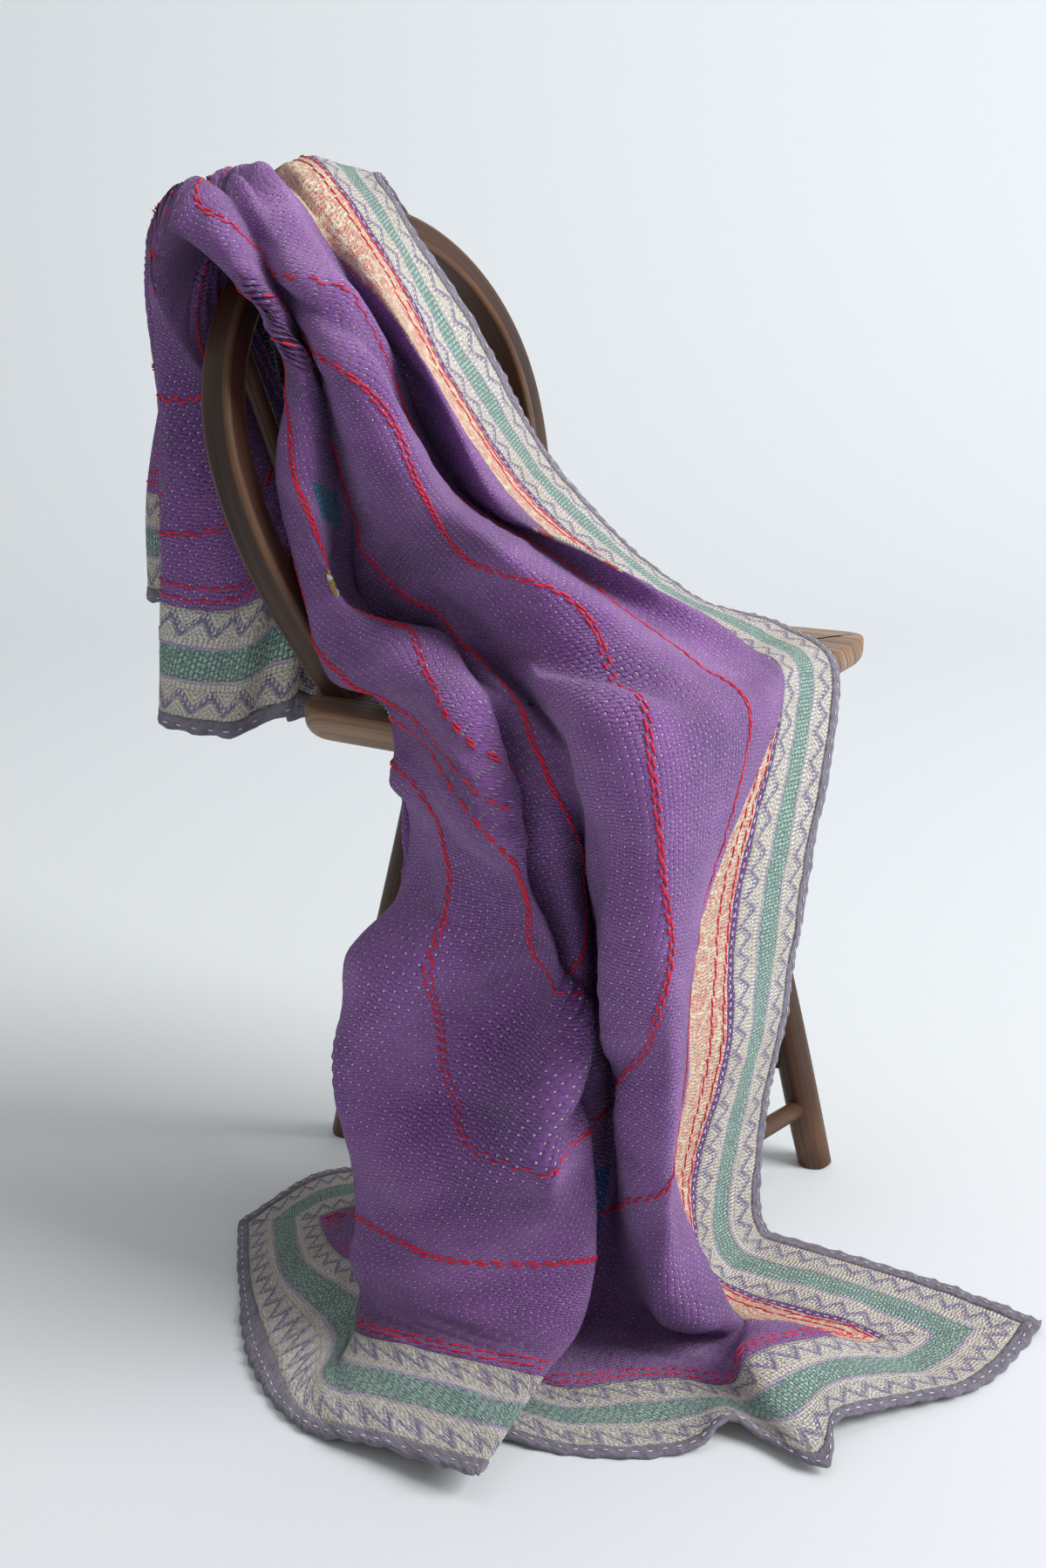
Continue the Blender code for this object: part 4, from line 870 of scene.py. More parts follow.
def quilt_lines(sizes):
    """Lines of the flat quilt, in mm: its size, then where binding, border and strip meet."""
    wide, long, bind = sizes.width * 1000, sizes.long * 1000, sizes.binding * 1000
    seam = bind + sizes.border * 1000
    return Lines(wide, long, bind, seam, wide - seam - sizes.coral * 1000)


def patch_step(s, t):
    """Sewn-on patches stand a little proud of the field."""
    height = np.zeros_like(s)
    for _, s0, t0, half_s, half_t, turn in PATCHES:
        c, d = math.cos(math.radians(turn)), math.sin(math.radians(turn))
        a, b = (s - s0) * c + (t - t0) * d, (t - t0) * c - (s - s0) * d
        inside = np.minimum(half_s - np.abs(a), half_t - np.abs(b))
        height += PATCH_RISE * np.clip(inside / PATCH_STEP, 0, 1)
    return height


def panel_grid(line, start, end, cell):
    """Grid of a panel between the end borders, from start to end mm across the quilt."""
    run = line.long - 2 * line.seam

    def place(u, v):
        return start + u * (end - start), line.seam + v * run

    return cells(end - start, cell), cells(run, cell), place


def make_field(drape, sizes, colours, lining):
    line = quilt_lines(sizes)
    grid = panel_grid(line, line.seam, line.strip, sizes.cell * 1000)
    return drape_sheet("purple_field", [grid], drape, sizes, ["quilt_field"],
                       [purple_cotton(colours), lining], height=patch_step)


def make_strip(drape, sizes, colours, lining):
    line = quilt_lines(sizes)
    grid = panel_grid(line, line.strip, line.wide - line.seam, sizes.edge_cell * 1000)
    return drape_sheet("printed_strip", [grid], drape, sizes, ["quilt_coral_strip"],
                       [scroll_print(colours, sizes), lining])


def ring_sides(wide, long, outer, inner):
    """Flat places of the four mitred sides of a frame from outer to inner mm off the edge."""
    def left(u, v):
        off = outer + u * (inner - outer)
        return off, off + v * (long - 2 * off)

    def right(u, v):
        off = inner + u * (outer - inner)
        return wide - off, off + v * (long - 2 * off)

    def front(u, v):
        off = outer + v * (inner - outer)
        return off + u * (wide - 2 * off), off

    def back(u, v):
        off = inner + v * (outer - inner)
        return off + u * (wide - 2 * off), long - off

    return {"left": left, "right": right, "front": front, "back": back}


def make_borders(drape, sizes, colours, lining):
    line, cell = quilt_lines(sizes), sizes.edge_cell * 1000
    cloth = woven_border(colours, sizes)
    made = []
    across = cells(line.seam - line.bind, cell)
    for side, place in ring_sides(line.wide, line.long, line.bind, line.seam).items():
        if side in ("left", "right"):
            grid = (across, cells(line.long, cell), place)
        else:
            grid = (cells(line.wide, cell), across, place)
        made.append(drape_sheet(f"border_{side}", [grid], drape, sizes,
                                [f"quilt_border_{side}"], [cloth, lining]))
    return made


BINDING_CELLS = 4       # mesh cells across the binding
SCALLOP = 19.0          # mm from one scallop of the binding to the next
STRAY = 1.5             # mm the binding may stray past the quilt's edge


def along_edge(line, s, t):
    """How far each place is from the nearest edge, and how far along that edge, in mm."""
    from_side, from_end = np.minimum(s, line.wide - s), np.minimum(t, line.long - t)
    return np.minimum(from_side, from_end), np.where(from_side < from_end, t, s)


def make_binding(drape, sizes, colours):
    line, cell = quilt_lines(sizes), sizes.edge_cell * 1000
    cloth = slate_binding(colours)

    def scalloped(place):
        """The outer edge runs in and out in small scallops."""
        def spot(u, v):
            s, t = place(u, v)
            off, along = along_edge(line, s, t)
            wave = 0.9 * np.cos(math.tau * along / SCALLOP)
            wave = wave + 1.1 * soft_noise(along, along * 0, 24, 24, seed=15)
            push = (1 - off / line.bind) * wave
            s = s + np.where(s - off < 1e-6, push, 0)
            s = s - np.where(line.wide - s - off < 1e-6, push, 0)
            t = t + np.where(t - off < 1e-6, push, 0)
            t = t - np.where(line.long - t - off < 1e-6, push, 0)
            return (np.clip(s, -STRAY, line.wide + STRAY), np.clip(t, -STRAY, line.long + STRAY))
        return spot

    def pleats(s, t):
        """Small pleats drawn across the binding by its stitches."""
        along = along_edge(line, s, t)[1]
        wander = soft_noise(along, along * 0 + s * 0.01, 30, 30, seed=12)
        return 0.55 * np.cos(math.tau * along / (SCALLOP / 2) + 2.5 * wander) + 0.5 * wander

    grids = []
    for side, place in ring_sides(line.wide, line.long, 0, line.bind).items():
        if side in ("left", "right"):
            grids.append((BINDING_CELLS, cells(line.long, cell), scalloped(place)))
        else:
            grids.append((cells(line.wide, cell), BINDING_CELLS, scalloped(place)))
    piece = drape_sheet("edge_binding", grids, drape, sizes, ["quilt_binding"],
                        [cloth, cloth], lift=0.3, height=pleats)
    piece.modifiers["layers"].thickness = sizes.thickness * 1.5
    return piece


STITCHES_AT_ONCE = 120
# sizes of the red stitches and of the binding's pale ones in metres, then how far in mm they lie
# above the middle of the cloth
RED_HEIGHT, RED_LIFT = 0.0012, 1.25
PALE_LENGTH, PALE_WIDTH, PALE_HEIGHT, PALE_LIFT = 0.0042, 0.0010, 0.0007, 2.1


def thread_stitches(name, places, width, height, material):
    """One padded, round-ended stitch for each (middle, way, facing, length)."""
    template = bmesh.new()
    bmesh.ops.create_uvsphere(template, u_segments=6, v_segments=5, radius=0.5)
    bmesh.ops.rotate(template, verts=template.verts, cent=(0, 0, 0),
                     matrix=Matrix.Rotation(math.pi / 2, 3, "Y"))
    shape = bpy.data.meshes.new("stitch_shape")
    template.to_mesh(shape)
    template.free()
    whole = bmesh.new()
    for first in range(0, len(places), STITCHES_AT_ONCE):
        part = bmesh.new()
        for middle, way, facing, size in places[first:first + STITCHES_AT_ONCE]:
            side = np.cross(facing, way)
            side = side / np.linalg.norm(side)
            turn = Matrix([[way[k] * size, side[k] * width, facing[k] * height, middle[k]]
                           for k in range(3)] + [[0, 0, 0, 1]])
            before = len(part.verts)
            part.from_mesh(shape)
            part.verts.ensure_lookup_table()
            for vert in part.verts[before:]:
                vert.co = turn @ vert.co
        data = bpy.data.meshes.new("batch")
        part.to_mesh(data)
        part.free()
        whole.from_mesh(data)
        bpy.data.meshes.remove(data)
    bpy.data.meshes.remove(shape)
    return finish(name, whole, [], [material])


def even_steps(points, pitch, closed):
    """Evenly spaced places and directions along a smoothed line of flat places (mm)."""
    knots = np.array(points, float)
    if closed:
        knots = np.vstack([knots, knots[:1]])
    for _ in range(3):      # corner cutting rounds the turns of the given line
        a, b = knots[:-1], knots[1:]
        cut = np.empty((2 * len(a), 2))
        cut[0::2], cut[1::2] = 0.75 * a + 0.25 * b, 0.25 * a + 0.75 * b
        knots = np.vstack([cut, cut[:1]]) if closed else np.vstack([knots[:1], cut, knots[-1:]])
    run = np.concatenate([[0], np.cumsum(np.linalg.norm(np.diff(knots, axis=0), axis=1))])
    steps = np.arange(0, run[-1], pitch)
    place = np.stack([np.interp(steps, run, knots[:, k]) for k in (0, 1)], axis=1)
    ahead = np.stack([np.interp(steps + pitch * 0.5, run, knots[:, k]) for k in (0, 1)], axis=1)
    way = ahead - place
    way /= np.maximum(np.linalg.norm(way, axis=1), 1e-9)[:, None]
    return place, way


def on_cloth(drape, place, way, lift, size, reach=2.5):
    """Middle, direction, facing and length of stitches, drawn in where the cloth is hidden.

    place and way are flat places and directions and size the lengths in metres. Stitches lost
    in tight folds are left out.
    """
    s, t = place[:, 0], place[:, 1]
    middle = drape.lay(s, t, lift)
    ahead = drape.lay(s + way[:, 0] * reach, t + way[:, 1] * reach, lift)
    behind = drape.lay(s - way[:, 0] * reach, t - way[:, 1] * reach, lift)
    along = ahead - behind
    run = np.maximum(np.linalg.norm(along, axis=1), 1e-9)
    along /= run[:, None]
    facing, slack = drape.ways(s, t)[2:]
    facing = facing - along * (facing * along).sum(axis=1)[:, None]
    facing /= np.maximum(np.linalg.norm(facing, axis=1), 1e-9)[:, None]
    size = size * np.clip(run * 500 / reach, 0.0, 1.0)
    kept = (slack > 0.3) & (run * 500 / reach > 0.4)
    return [item for item, stays in zip(zip(middle, along, facing, size), kept) if stays]


def slanting_rows(drape, rounds, sizes, pitch, sway, seed):
    """Slanting stitches that overlap their neighbours, sway mm to either side of a line."""
    dice = np.random.default_rng(seed)
    found = []
    for points, closed in rounds:
        place, way = even_steps(points, pitch, closed)
        count = np.arange(len(place))
        side = np.stack([-way[:, 1], way[:, 0]], axis=1)
        drift = 1.2 * soft_noise(count * pitch, count * 0.0, 45, 45, seed)
        off = drift + sway * np.where(count % 2, 1, -1) + dice.uniform(-0.35, 0.35, len(place))
        slant = np.radians(10 + dice.uniform(-5, 5, len(place)))
        turned = way * np.cos(slant)[:, None] + side * np.sin(slant)[:, None]
        size = sizes.stitch * dice.uniform(0.75, 1.15, len(place))
        found += on_cloth(drape, place + side * off[:, None], turned, RED_LIFT, size)
    return found


def sides_of(left, right, front, back):
    """The four sides of a frame, each from corner to corner, from the places of its edges."""
    corners = ((left, front), (right, front), (right, back), (left, back))
    return list(zip(corners, corners[1:] + corners[:1]))


def make_embroidery(drape, sizes, colours):
    red = plain_thread("mercerised_red_embroidery_cotton", colours.red, 0.0011)
    pitch = sizes.stitch_pitch * 1000
    rounds = [(points, True) for _, points in RED_ROUNDS]
    edges = [(side, False) for _, *places in RED_EDGES for side in sides_of(*places)]
    rounds = slanting_rows(drape, rounds, sizes, pitch, sway=1.25, seed=21)
    edges = slanting_rows(drape, edges, sizes, 1.6 * pitch, sway=0.45, seed=22)
    return [thread_stitches(name, places, sizes.stitch_width * share, RED_HEIGHT,
                            red)
            for name, places, share in (("red_rounds", rounds, 1.0),
                                        ("red_edge_rows", edges, 0.95))]


def make_binding_stitches(drape, sizes, colours):
    line = quilt_lines(sizes)
    pale = plain_thread("white_quilting_cotton", colours.thread, 0.0009)
    inset = line.bind * 0.42
    dice = np.random.default_rng(31)
    found = []
    for side in sides_of(inset, line.wide - inset, inset, line.long - inset):
        place, way = even_steps(side, sizes.edge_pitch * 1000, False)
        size = PALE_LENGTH * dice.uniform(0.75, 1.2, len(place) - 1)
        found += on_cloth(drape, place[1:], way[1:], PALE_LIFT, size)
    return thread_stitches("binding_stitches", found, PALE_WIDTH, PALE_HEIGHT,
                           pale)


# ---------------------------------------------------------------- chair
CHAIR_PLACE = (-0.010, 0.060)
CHAIR_TURN = math.radians(-30)      # the seat's front points along its own +X
# seat corners from above: x to the front, y to the far side, corner radius
SEAT_CORNERS = ((0.150, -0.195, 0.030), (0.150, 0.187, 0.020), (-0.115, 0.150, 0.050),
                (-0.145, 0.000, 0.200), (-0.110, -0.195, 0.030))
SEAT_ROUNDING, SEAT_ARRIS, SEAT_RIM = 0.014, 0.0028, 0.018
# legs: place of the top under the seat and place of the foot
LEGS = {
    "leg_front_far": ((0.106, 0.117), (0.202, 0.128)),
    "leg_front_near": ((0.008, -0.046), (0.036, -0.072)),
    "leg_rear": ((-0.092, 0.082), (-0.181, 0.183)),
}
LEG_TOP, LEG_FOOT, LEG_SWELL = 0.0100, 0.0135, 0.0008       # radii, and how far a leg swells
# each stretcher joins two legs at the given heights
STRETCHERS = {
    "stretcher_front": ("leg_front_far", 0.052, "leg_front_near", 0.060),
    "stretcher_far": ("leg_front_far", 0.092, "leg_rear", 0.100),
    "stretcher_near": ("leg_front_near", 0.110, "leg_rear", 0.130),
}
HOOP_LEAN = math.radians(15)
HOOP_SETBACK, HOOP_SHIFT = -0.098, -0.025
HOOP_FOOT_HALF, HOOP_HALF_WIDTH = 0.126, 0.186
HOOP_TENON = (0.120, -0.012)    # end of each foot: half width and height above the seat's top
HOOP_WIDEST, HOOP_CREST = 0.165, 0.313      # heights along the leaning hoop
HOOP_SECTION, HOOP_CORNER = (0.021, 0.024), 0.0045
HOOP_TURNS = 44             # rings along each quarter of the bow
HOOP_WORN = 24              # places along it that are worn more or less
LEG_STATIONS, LEG_SIDES = 14, 18
ROD_STATIONS, ROD_SIDES = 8, 14
STRETCHER_RADIUS, STRETCHER_SWELL, STICK_RADIUS = 0.0073, 0.0006, 0.0063
TENON = 0.017               # a leg's top lies this far above the seat's underside
# sticks of the back: sideways place at the seat and where they meet the hoop
STICKS = {"stick_near": (-0.105, -0.150), "stick_middle": (-0.025, -0.025),
          "stick_far": (0.055, 0.100)}


def chair_matrix():
    place = Vector((*CHAIR_PLACE, 0)) + Vector(CENTRE)
    return Matrix.Translation(place) @ Matrix.Rotation(CHAIR_TURN, 4, "Z")


def swept_bar(name, route, sections, flat_way, nodes, material):
    """Bar grown station by station along a route.

    Each section is a list of (across, deep, rubbed) corners; flat_way is the direction that
    'deep' follows, as near as the route lets it.
    """
    mesh = bmesh.new()
    grain = mesh.loops.layers.uv.new("grain")
    rubbed = mesh.verts.layers.float.new("rubbed")
    count = len(sections[0])
    made = bmesh.ops.create_circle(mesh, cap_ends=True, segments=count, radius=0.01)
    ring = list(made["verts"])
    cap = mesh.faces[:][0]
    spots = {}
    run = 0.0
    for i, point in enumerate(route):
        ahead = (route[min(i + 1, len(route) - 1)] - route[max(i - 1, 0)]).normalized()
        side = ahead.cross(flat_way).normalized()
        deep = side.cross(ahead)
        if i:
            run += (point - route[i - 1]).length
            old = {vert: k for k, vert in enumerate(ring)}
            inner = cap
            grown = bmesh.ops.extrude_face_region(mesh, geom=[inner])
            fresh = [item for item in grown["geom"] if isinstance(item, bmesh.types.BMVert)]
            cap = [item for item in grown["geom"] if isinstance(item, bmesh.types.BMFace)][0]
            order = [None] * count
            for vert in fresh:
                for edge in vert.link_edges:
                    other = edge.other_vert(vert)
                    if other in old:
                        order[old[other]] = vert
            ring = order
            if i > 1 and inner.is_valid:
                bmesh.ops.delete(mesh, geom=[inner], context="FACES_ONLY")
        for k, (vert, (across, down, worn)) in enumerate(zip(ring, sections[i])):
            vert.co = point + side * across + deep * down
            vert[rubbed] = worn
            spots[vert] = (k, run)
    bmesh.ops.recalc_face_normals(mesh, faces=mesh.faces)
    if mesh.calc_volume(signed=True) < 0:
        bmesh.ops.reverse_faces(mesh, faces=mesh.faces)
    girth = sum(math.dist(a[:2], b[:2]) for a, b in zip(sections[0], sections[0][1:]))
    for face in mesh.faces:
        numbers = [spots[loop.vert][0] for loop in face.loops]
        wraps = max(numbers) - min(numbers) > count // 2
        for loop in face.loops:
            k, down = spots[loop.vert]
            if wraps and k < count // 2:
                k += count
            loop[grain].uv = (k / count * girth, down)
    return finish(name, mesh, nodes, [material])


def round_section(radius, sides, wobble, seed, rub):
    dice = np.random.default_rng(seed)
    lumps = dice.uniform(-wobble, wobble, sides)
    return [(math.cos(math.tau * k / sides) * (radius + lumps[k]),
             math.sin(math.tau * k / sides) * (radius + lumps[k]), rub) for k in range(sides)]


def bar_section(wide, deep, corner, rub):
    """Rounded square section; its four arrises carry the wear."""
    section = []
    for sx, sy, turn in ((1, 1, 0), (-1, 1, 90), (-1, -1, 180), (1, -1, 270)):
        for step in (0, 22.5, 45, 67.5, 90):
            angle = math.radians(turn + step)
            worn = rub if step in (22.5, 45, 67.5) else 0.0
            section.append((sx * (wide / 2 - corner) + corner * math.cos(angle),
                            sy * (deep / 2 - corner) + corner * math.sin(angle), worn))
    return section


def leg_line(name):
    top, foot = LEGS[name]
    return Vector((*top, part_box("seat")[0][2] + TENON)), Vector((*foot, 0.0))


def on_leg(name, height):
    top, foot = leg_line(name)
    return foot.lerp(top, height / top.z)


def hoop_point(side, up, seat_height):
    back = HOOP_SETBACK - math.sin(HOOP_LEAN) * up
    return Vector((back, side + HOOP_SHIFT, seat_height + math.cos(HOOP_LEAN) * up))


def make_hoop(sizes, wood):
    """Bent bow: its feet swell out to the widest place, and a half round closes it."""
    half = [HOOP_TENON]
    rises = round(HOOP_WIDEST / sizes.hoop_step)
    for k in range(rises):
        up = k * HOOP_WIDEST / rises
        swell = math.sin(math.pi / 2 * up / HOOP_WIDEST)
        half.append((HOOP_FOOT_HALF + (HOOP_HALF_WIDTH - HOOP_FOOT_HALF) * swell, up))
    for k in range(HOOP_TURNS + 1):
        angle = math.pi / 2 * k / HOOP_TURNS
        half.append((HOOP_HALF_WIDTH * math.cos(angle),
                     HOOP_WIDEST + (HOOP_CREST - HOOP_WIDEST) * math.sin(angle)))
    place, height = chair_matrix(), sizes.seat_height
    route = [place @ hoop_point(-w, up, height) for w, up in half]
    route += [place @ hoop_point(w, up, height) for w, up in half[-2::-1]]
    lean = Vector((math.cos(HOOP_LEAN), 0, math.sin(HOOP_LEAN)))
    dice = np.random.default_rng(41)
    wear = np.interp(np.arange(len(route)), np.linspace(0, len(route), HOOP_WORN),
                     dice.uniform(0.3, 0.8, HOOP_WORN))
    sections = [bar_section(*HOOP_SECTION, HOOP_CORNER, float(rub)) for rub in wear]
    return swept_bar("bent_hoop", route, sections, place.to_3x3() @ lean, ["hoop"],
                     wood)


def make_rods(sizes, wood):
    """Legs, stretchers and back sticks: shaved by hand, so none is quite round."""
    made = []
    up_way = Vector((0.3, 0.2, 1.0)).normalized()
    for n, name in enumerate(LEGS):
        top, foot = leg_line(name)
        route, sections = [], []
        for k in range(LEG_STATIONS + 1):
            share = k / LEG_STATIONS
            swell = LEG_SWELL * math.sin(math.pi * share * 2.2)
            radius = LEG_FOOT + (LEG_TOP - LEG_FOOT) * share + swell * (share < 0.9)
            route.append(foot.lerp(top, share))
            sections.append(round_section(radius, LEG_SIDES, 0.00035, 50 + n,
                                          0.5 if k < 2 else 0.12))
        leg = swept_bar(name.replace("leg", "shaved_leg"), route, sections, Vector((0, 1, 0.1)),
                        [name], wood)
        for vert in leg.data.vertices:      # the foot is sawn level with the floor
            vert.co.z = max(vert.co.z, 0.0)
        made.append(leg)
    for n, (name, (leg_a, height_a, leg_b, height_b)) in enumerate(STRETCHERS.items()):
        a, b = on_leg(leg_a, height_a), on_leg(leg_b, height_b)
        route = [a.lerp(b, k / ROD_STATIONS) for k in range(ROD_STATIONS + 1)]
        sections = [round_section(STRETCHER_RADIUS + STRETCHER_SWELL
                                  * math.sin(math.pi * k / ROD_STATIONS), ROD_SIDES, 0.0003,
                                  60 + n, 0.2) for k in range(ROD_STATIONS + 1)]
        made.append(swept_bar(name.replace("stretcher", "shaved_stretcher"), route, sections,
                              up_way, [name], wood))
    place = chair_matrix()
    for n, (name, (low, high)) in enumerate(STICKS.items()):
        up = HOOP_WIDEST + (HOOP_CREST - HOOP_WIDEST) * math.sqrt(1 - (high / HOOP_HALF_WIDTH) ** 2)
        a = place @ hoop_point(low, -0.008, sizes.seat_height)
        b = place @ hoop_point(high, up, sizes.seat_height)
        route = [a.lerp(b, k / ROD_STATIONS) for k in range(ROD_STATIONS + 1)]
        sections = [round_section(STICK_RADIUS, ROD_SIDES, 0.0002, 70 + n, 0.25)] * len(route)
        made.append(swept_bar(name.replace("stick", "back_stick"), route, sections,
                              Vector((1, 0, 0.1)), [name], wood))
    return made


def seat_outline(steps):
    points = []
    for i, (x, y, radius) in enumerate(SEAT_CORNERS):
        here = Vector((x, y))
        before = Vector(SEAT_CORNERS[i - 1][:2])
        after = Vector(SEAT_CORNERS[(i + 1) % len(SEAT_CORNERS)][:2])
        back, ahead = (before - here).normalized(), (after - here).normalized()
        half = math.acos(max(-1.0, min(1.0, back.dot(ahead)))) / 2
        reach = min(radius / math.tan(half), 0.45 * (before - here).length,
                    0.45 * (after - here).length)
        start, end = here + back * reach, here + ahead * reach
        for k in range(steps + 1):
            u = k / steps
            points.append((1 - u) ** 2 * start + 2 * u * (1 - u) * here + u * u * end)
    return points


def make_seat(sizes, wood):
    """Worn plank seat with a soft under-edge and rubbed upper arris."""
    mesh = bmesh.new()
    base = sizes.seat_height - sizes.seat_thickness
    outline = seat_outline(10)
    face = mesh.faces.new([mesh.verts.new((p.x, p.y, base)) for p in outline])
    grown = bmesh.ops.extrude_face_region(mesh, geom=[face])
    top = [v for v in grown["geom"] if isinstance(v, bmesh.types.BMVert)]
    bmesh.ops.translate(mesh, verts=top, vec=(0, 0, sizes.seat_thickness))
    bmesh.ops.recalc_face_normals(mesh, faces=mesh.faces)
    lid = [f for f in mesh.faces if f.normal.z > 0.9]
    bmesh.ops.inset_region(mesh, faces=lid, thickness=SEAT_RIM, depth=0.0, use_even_offset=True)
    rims = {True: [], False: []}
    for line in mesh.edges:
        heights = [v.co.z for v in line.verts]
        upright = any(abs(f.normal.z) < 0.5 for f in line.link_faces)
        if abs(heights[0] - heights[1]) < 1e-6 and upright:
            rims[heights[0] > base + 1e-6].append(line)
    bmesh.ops.bevel(mesh, geom=rims[False], offset=SEAT_ROUNDING, offset_type="OFFSET",
                    segments=7, profile=0.5, affect="EDGES", material=-1)
    rim = [line for line in mesh.edges
           if all(v.co.z > sizes.seat_height - 1e-6 for v in line.verts)
           and any(abs(f.normal.z) < 0.5 for f in line.link_faces)]
    bmesh.ops.bevel(mesh, geom=rim, offset=SEAT_ARRIS, offset_type="OFFSET",
                    segments=3, profile=0.5, affect="EDGES", material=-1)
    grain = mesh.loops.layers.uv.new("grain")
    rubbed = mesh.verts.layers.float.new("rubbed")
    for vert in mesh.verts:
        below_top = sizes.seat_height - vert.co.z
        vert[rubbed] = 0.85 if 1e-5 < below_top < 0.003 else 0.1
    for found in mesh.faces:
        for loop in found.loops:
            loop[grain].uv = (loop.vert.co.y + loop.vert.co.z * 0.8, loop.vert.co.x)
    mesh.transform(chair_matrix())
    return finish("plank_seat", mesh, ["seat"], [wood])


# ---------------------------------------------------------------- stage
FLOOR_SIZE, BEND_AT, BEND = (12.0, 9.0), 1.9, 1.2   # the floor curves up behind the chair
# lights: setting that holds the power, place, the place it is aimed at, and width
LIGHTS = {
    "window_light": ("key", (3.6, -1.3, 3.0), (0.0, 0.0, 0.35), 2.6),
    "fill_light": ("fill", (-2.2, -1.4, 1.2), (0.0, 0.0, 0.35), 2.2),
    "backdrop_light": ("back", (0.0, 0.7, 3.2), (0.0, 2.6, 0.4), 2.6),
}
CAMERA_PLACE, CAMERA_TILT, LENS = (-0.035, -1.4599, 0.839), math.radians(72), 50.0


def make_stage(settings):
    """Pale floor that curves up into a backdrop, a big soft window light and a fill."""
    mesh = bmesh.new()
    made = bmesh.ops.create_grid(mesh, x_segments=2, y_segments=60, size=0.5)
    arc = BEND * math.pi / 2
    for vert in made["verts"]:
        run = (vert.co.y + 0.5) * FLOOR_SIZE[1] - FLOOR_SIZE[1] / 2
        vert.co.x *= FLOOR_SIZE[0]
        if run <= BEND_AT:
            vert.co.y, vert.co.z = run, 0.0
        elif run <= BEND_AT + arc:
            angle = (run - BEND_AT) / BEND
            vert.co.y, vert.co.z = BEND_AT + BEND * math.sin(angle), BEND * (1 - math.cos(angle))
        else:
            vert.co.y, vert.co.z = BEND_AT + BEND, BEND + run - BEND_AT - arc
    data = bpy.data.meshes.new("paper_backdrop")
    mesh.to_mesh(data)
    mesh.free()
    data.polygons.foreach_set("use_smooth", [True] * len(data.polygons))
    b = Bench("seamless_backdrop_paper")
    tooth = b.add("TexNoise", b.add("TexCoord", out=3), 160.0, 2.0)
    base = b.add("ValToRGB", tooth,
                 stops=list(zip((0.2, 0.8), shades(settings.floor, 0.985, 1.0))))
    rough = b.add("MapRange", tooth, 0.0, 1.0, 0.9, 1.0)
    data.materials.append(b.done(base, rough, tooth, PAPER_DEPTH, {"Specular IOR Level": 0.1}))
    paper = bpy.data.objects.new("paper_backdrop", data)
    bpy.context.scene.collection.objects.link(paper)
    for name, (power, place, aim, size) in LIGHTS.items():
        lamp = bpy.data.lights.new(name, "AREA")
        lamp.energy, lamp.size = getattr(settings, power), size
        light = bpy.data.objects.new(name, lamp)
        light.location = place
        way = Vector(aim) - Vector(place)
        light.rotation_euler = way.to_track_quat("-Z", "Y").to_euler()
        bpy.context.scene.collection.objects.link(light)
    world = bpy.data.worlds.new("room")
    world.use_nodes = True
    sky = world.node_tree.nodes["Background"]
    sky.inputs["Color"].default_value = rgba(linear("F4F6F8"))
    sky.inputs["Strength"].default_value = settings.sky
    bpy.context.scene.world = world
    bpy.context.scene.view_settings.view_transform = "Standard"
    eye = bpy.data.cameras.new("camera")
    eye.sensor_fit, eye.sensor_height, eye.lens = "VERTICAL", 36.0, LENS
    camera = bpy.data.objects.new("camera", eye)
    camera.location = CAMERA_PLACE
    camera.rotation_euler = (CAMERA_TILT, 0, 0)
    bpy.context.scene.collection.objects.link(camera)
    bpy.context.scene.camera = camera


# ---------------------------------------------------------------- operators
class QUILT_OT_build_quilt(bpy.types.Operator):
    """Build the draped quilt: field, printed strip, borders and binding"""
    bl_idname = "quilt.build_quilt"
    bl_label = "Build Quilt"

    def execute(self, context):
        sizes, colours = context.scene.quilt_sizes, context.scene.quilt_colours
        drape, lining = Drape(sizes), reverse_print()
        field = make_field(drape, sizes, colours, lining)
        coral = make_strip(drape, sizes, colours, lining)
        borders = make_borders(drape, sizes, colours, lining)
        binding = make_binding(drape, sizes, colours)
        rounds, rows = make_embroidery(drape, sizes, colours)
        edge_stitches = make_binding_stitches(drape, sizes, colours)
        return {"FINISHED"}


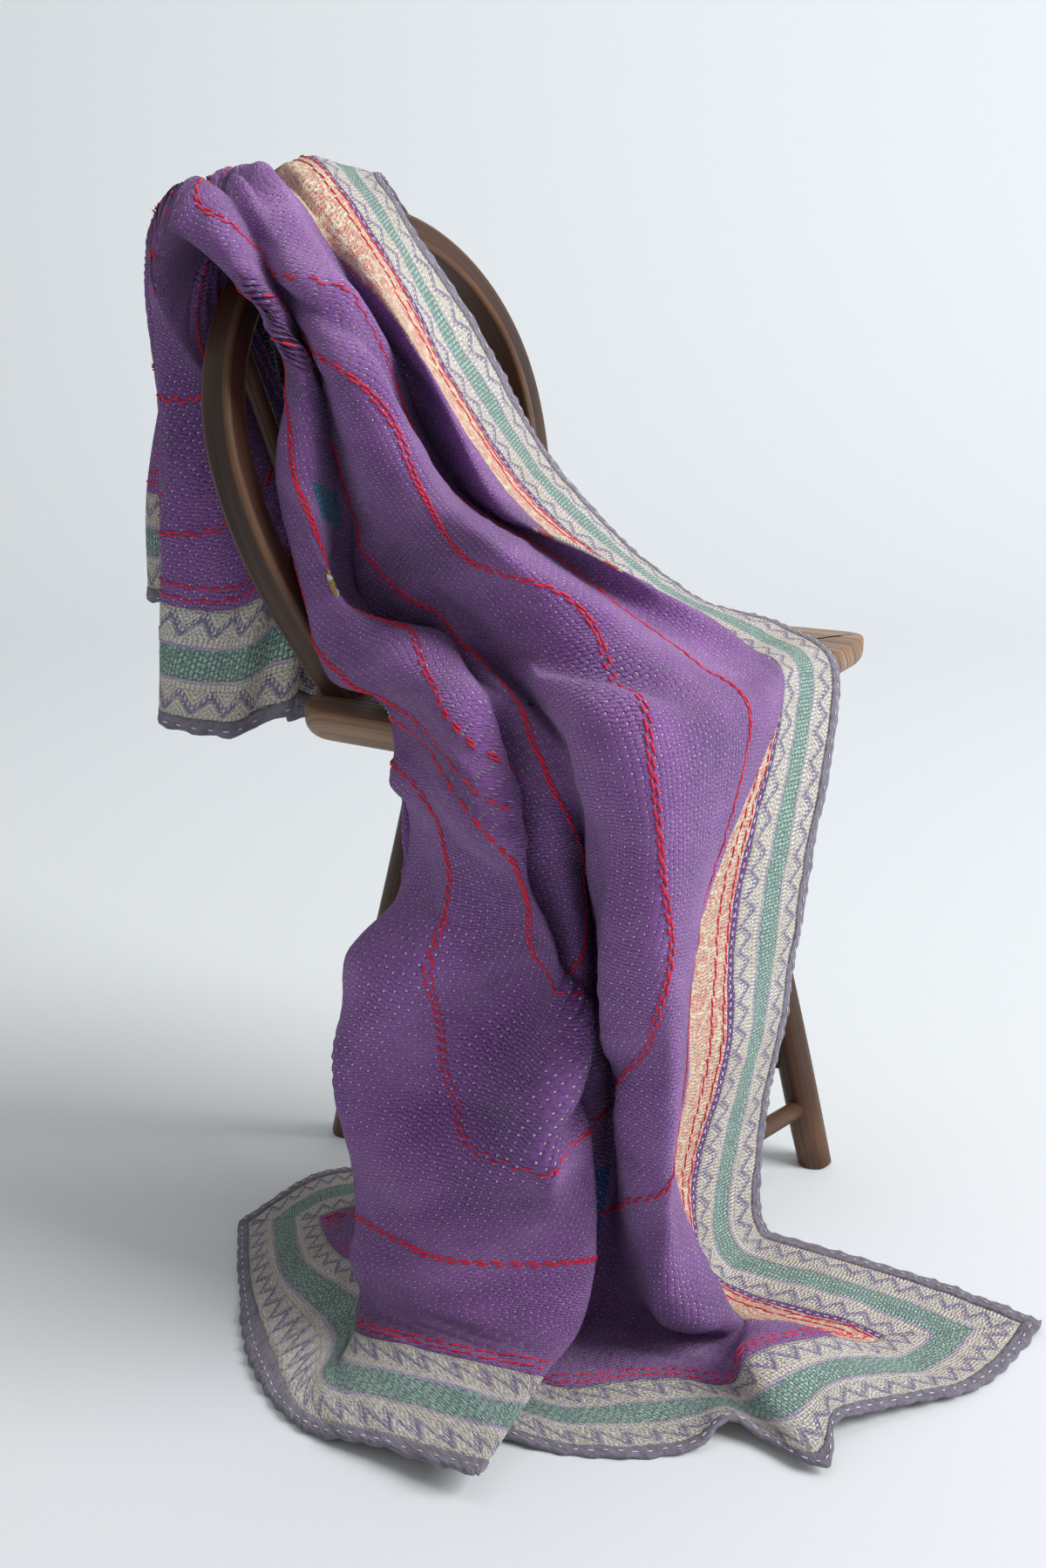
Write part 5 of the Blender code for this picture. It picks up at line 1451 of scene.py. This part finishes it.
class QUILT_OT_build_chair(bpy.types.Operator):
    """Build the old chair: seat, bent hoop, legs, stretchers and back sticks"""
    bl_idname = "quilt.build_chair"
    bl_label = "Build Chair"

    def execute(self, context):
        sizes, colours = context.scene.chair_sizes, context.scene.chair_colours
        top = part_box("seat")[1][2]
        if abs(top - sizes.seat_height) > 0.002:
            raise RuntimeError("the seat is not at the frame's height")
        dark = old_wood("oiled_dark_oak", colours.oak_dark, colours.oak, colours.arris, 24)
        worn = old_wood("sat_smooth_elm", colours.seat_dark, colours.seat, colours.arris, 40)
        make_seat(sizes, worn)
        make_hoop(sizes, dark)
        make_rods(sizes, dark)
        return {"FINISHED"}


class QUILT_OT_build_stage(bpy.types.Operator):
    """Build the floor, backdrop, lights and camera"""
    bl_idname = "quilt.build_stage"
    bl_label = "Build Stage"

    def execute(self, context):
        make_stage(context.scene.quilt_stage)
        return {"FINISHED"}


class QUILT_PT_panel(bpy.types.Panel):
    bl_idname = "QUILT_PT_panel"
    bl_label = "Kantha Quilt"
    bl_space_type = "VIEW_3D"
    bl_region_type = "UI"
    bl_category = "Quilt"

    def draw(self, context):
        scene = context.scene
        for title, group, operator in (
                ("Chair", scene.chair_sizes, "quilt.build_chair"),
                ("Quilt", scene.quilt_sizes, "quilt.build_quilt"),
                ("Stage", scene.quilt_stage, "quilt.build_stage")):
            box = self.layout.box()
            box.label(text=title)
            for name in group.__annotations__:
                box.prop(group, name)
            box.operator(operator)
        for group in (scene.quilt_colours, scene.chair_colours):
            for name in group.__annotations__:
                self.layout.prop(group, name)


GROUPS = {
    "quilt_sizes": QuiltSizes,
    "quilt_colours": QuiltColours,
    "chair_sizes": ChairSizes,
    "chair_colours": ChairColours,
    "quilt_stage": StageSettings,
}
CLASSES = (QUILT_OT_build_chair, QUILT_OT_build_quilt, QUILT_OT_build_stage, QUILT_PT_panel)


def register():
    for name, group in GROUPS.items():
        bpy.utils.register_class(group)
        setattr(bpy.types.Scene, name, bpy.props.PointerProperty(type=group))
    for item in CLASSES:
        bpy.utils.register_class(item)


def unregister():
    for item in reversed(CLASSES):
        bpy.utils.unregister_class(item)
    for name, group in reversed(GROUPS.items()):
        delattr(bpy.types.Scene, name)
        bpy.utils.unregister_class(group)


def main():
    register()
    bpy.ops.quilt.build_chair()
    bpy.ops.quilt.build_quilt()
    bpy.ops.quilt.build_stage()


if __name__ == "__main__":
    main()
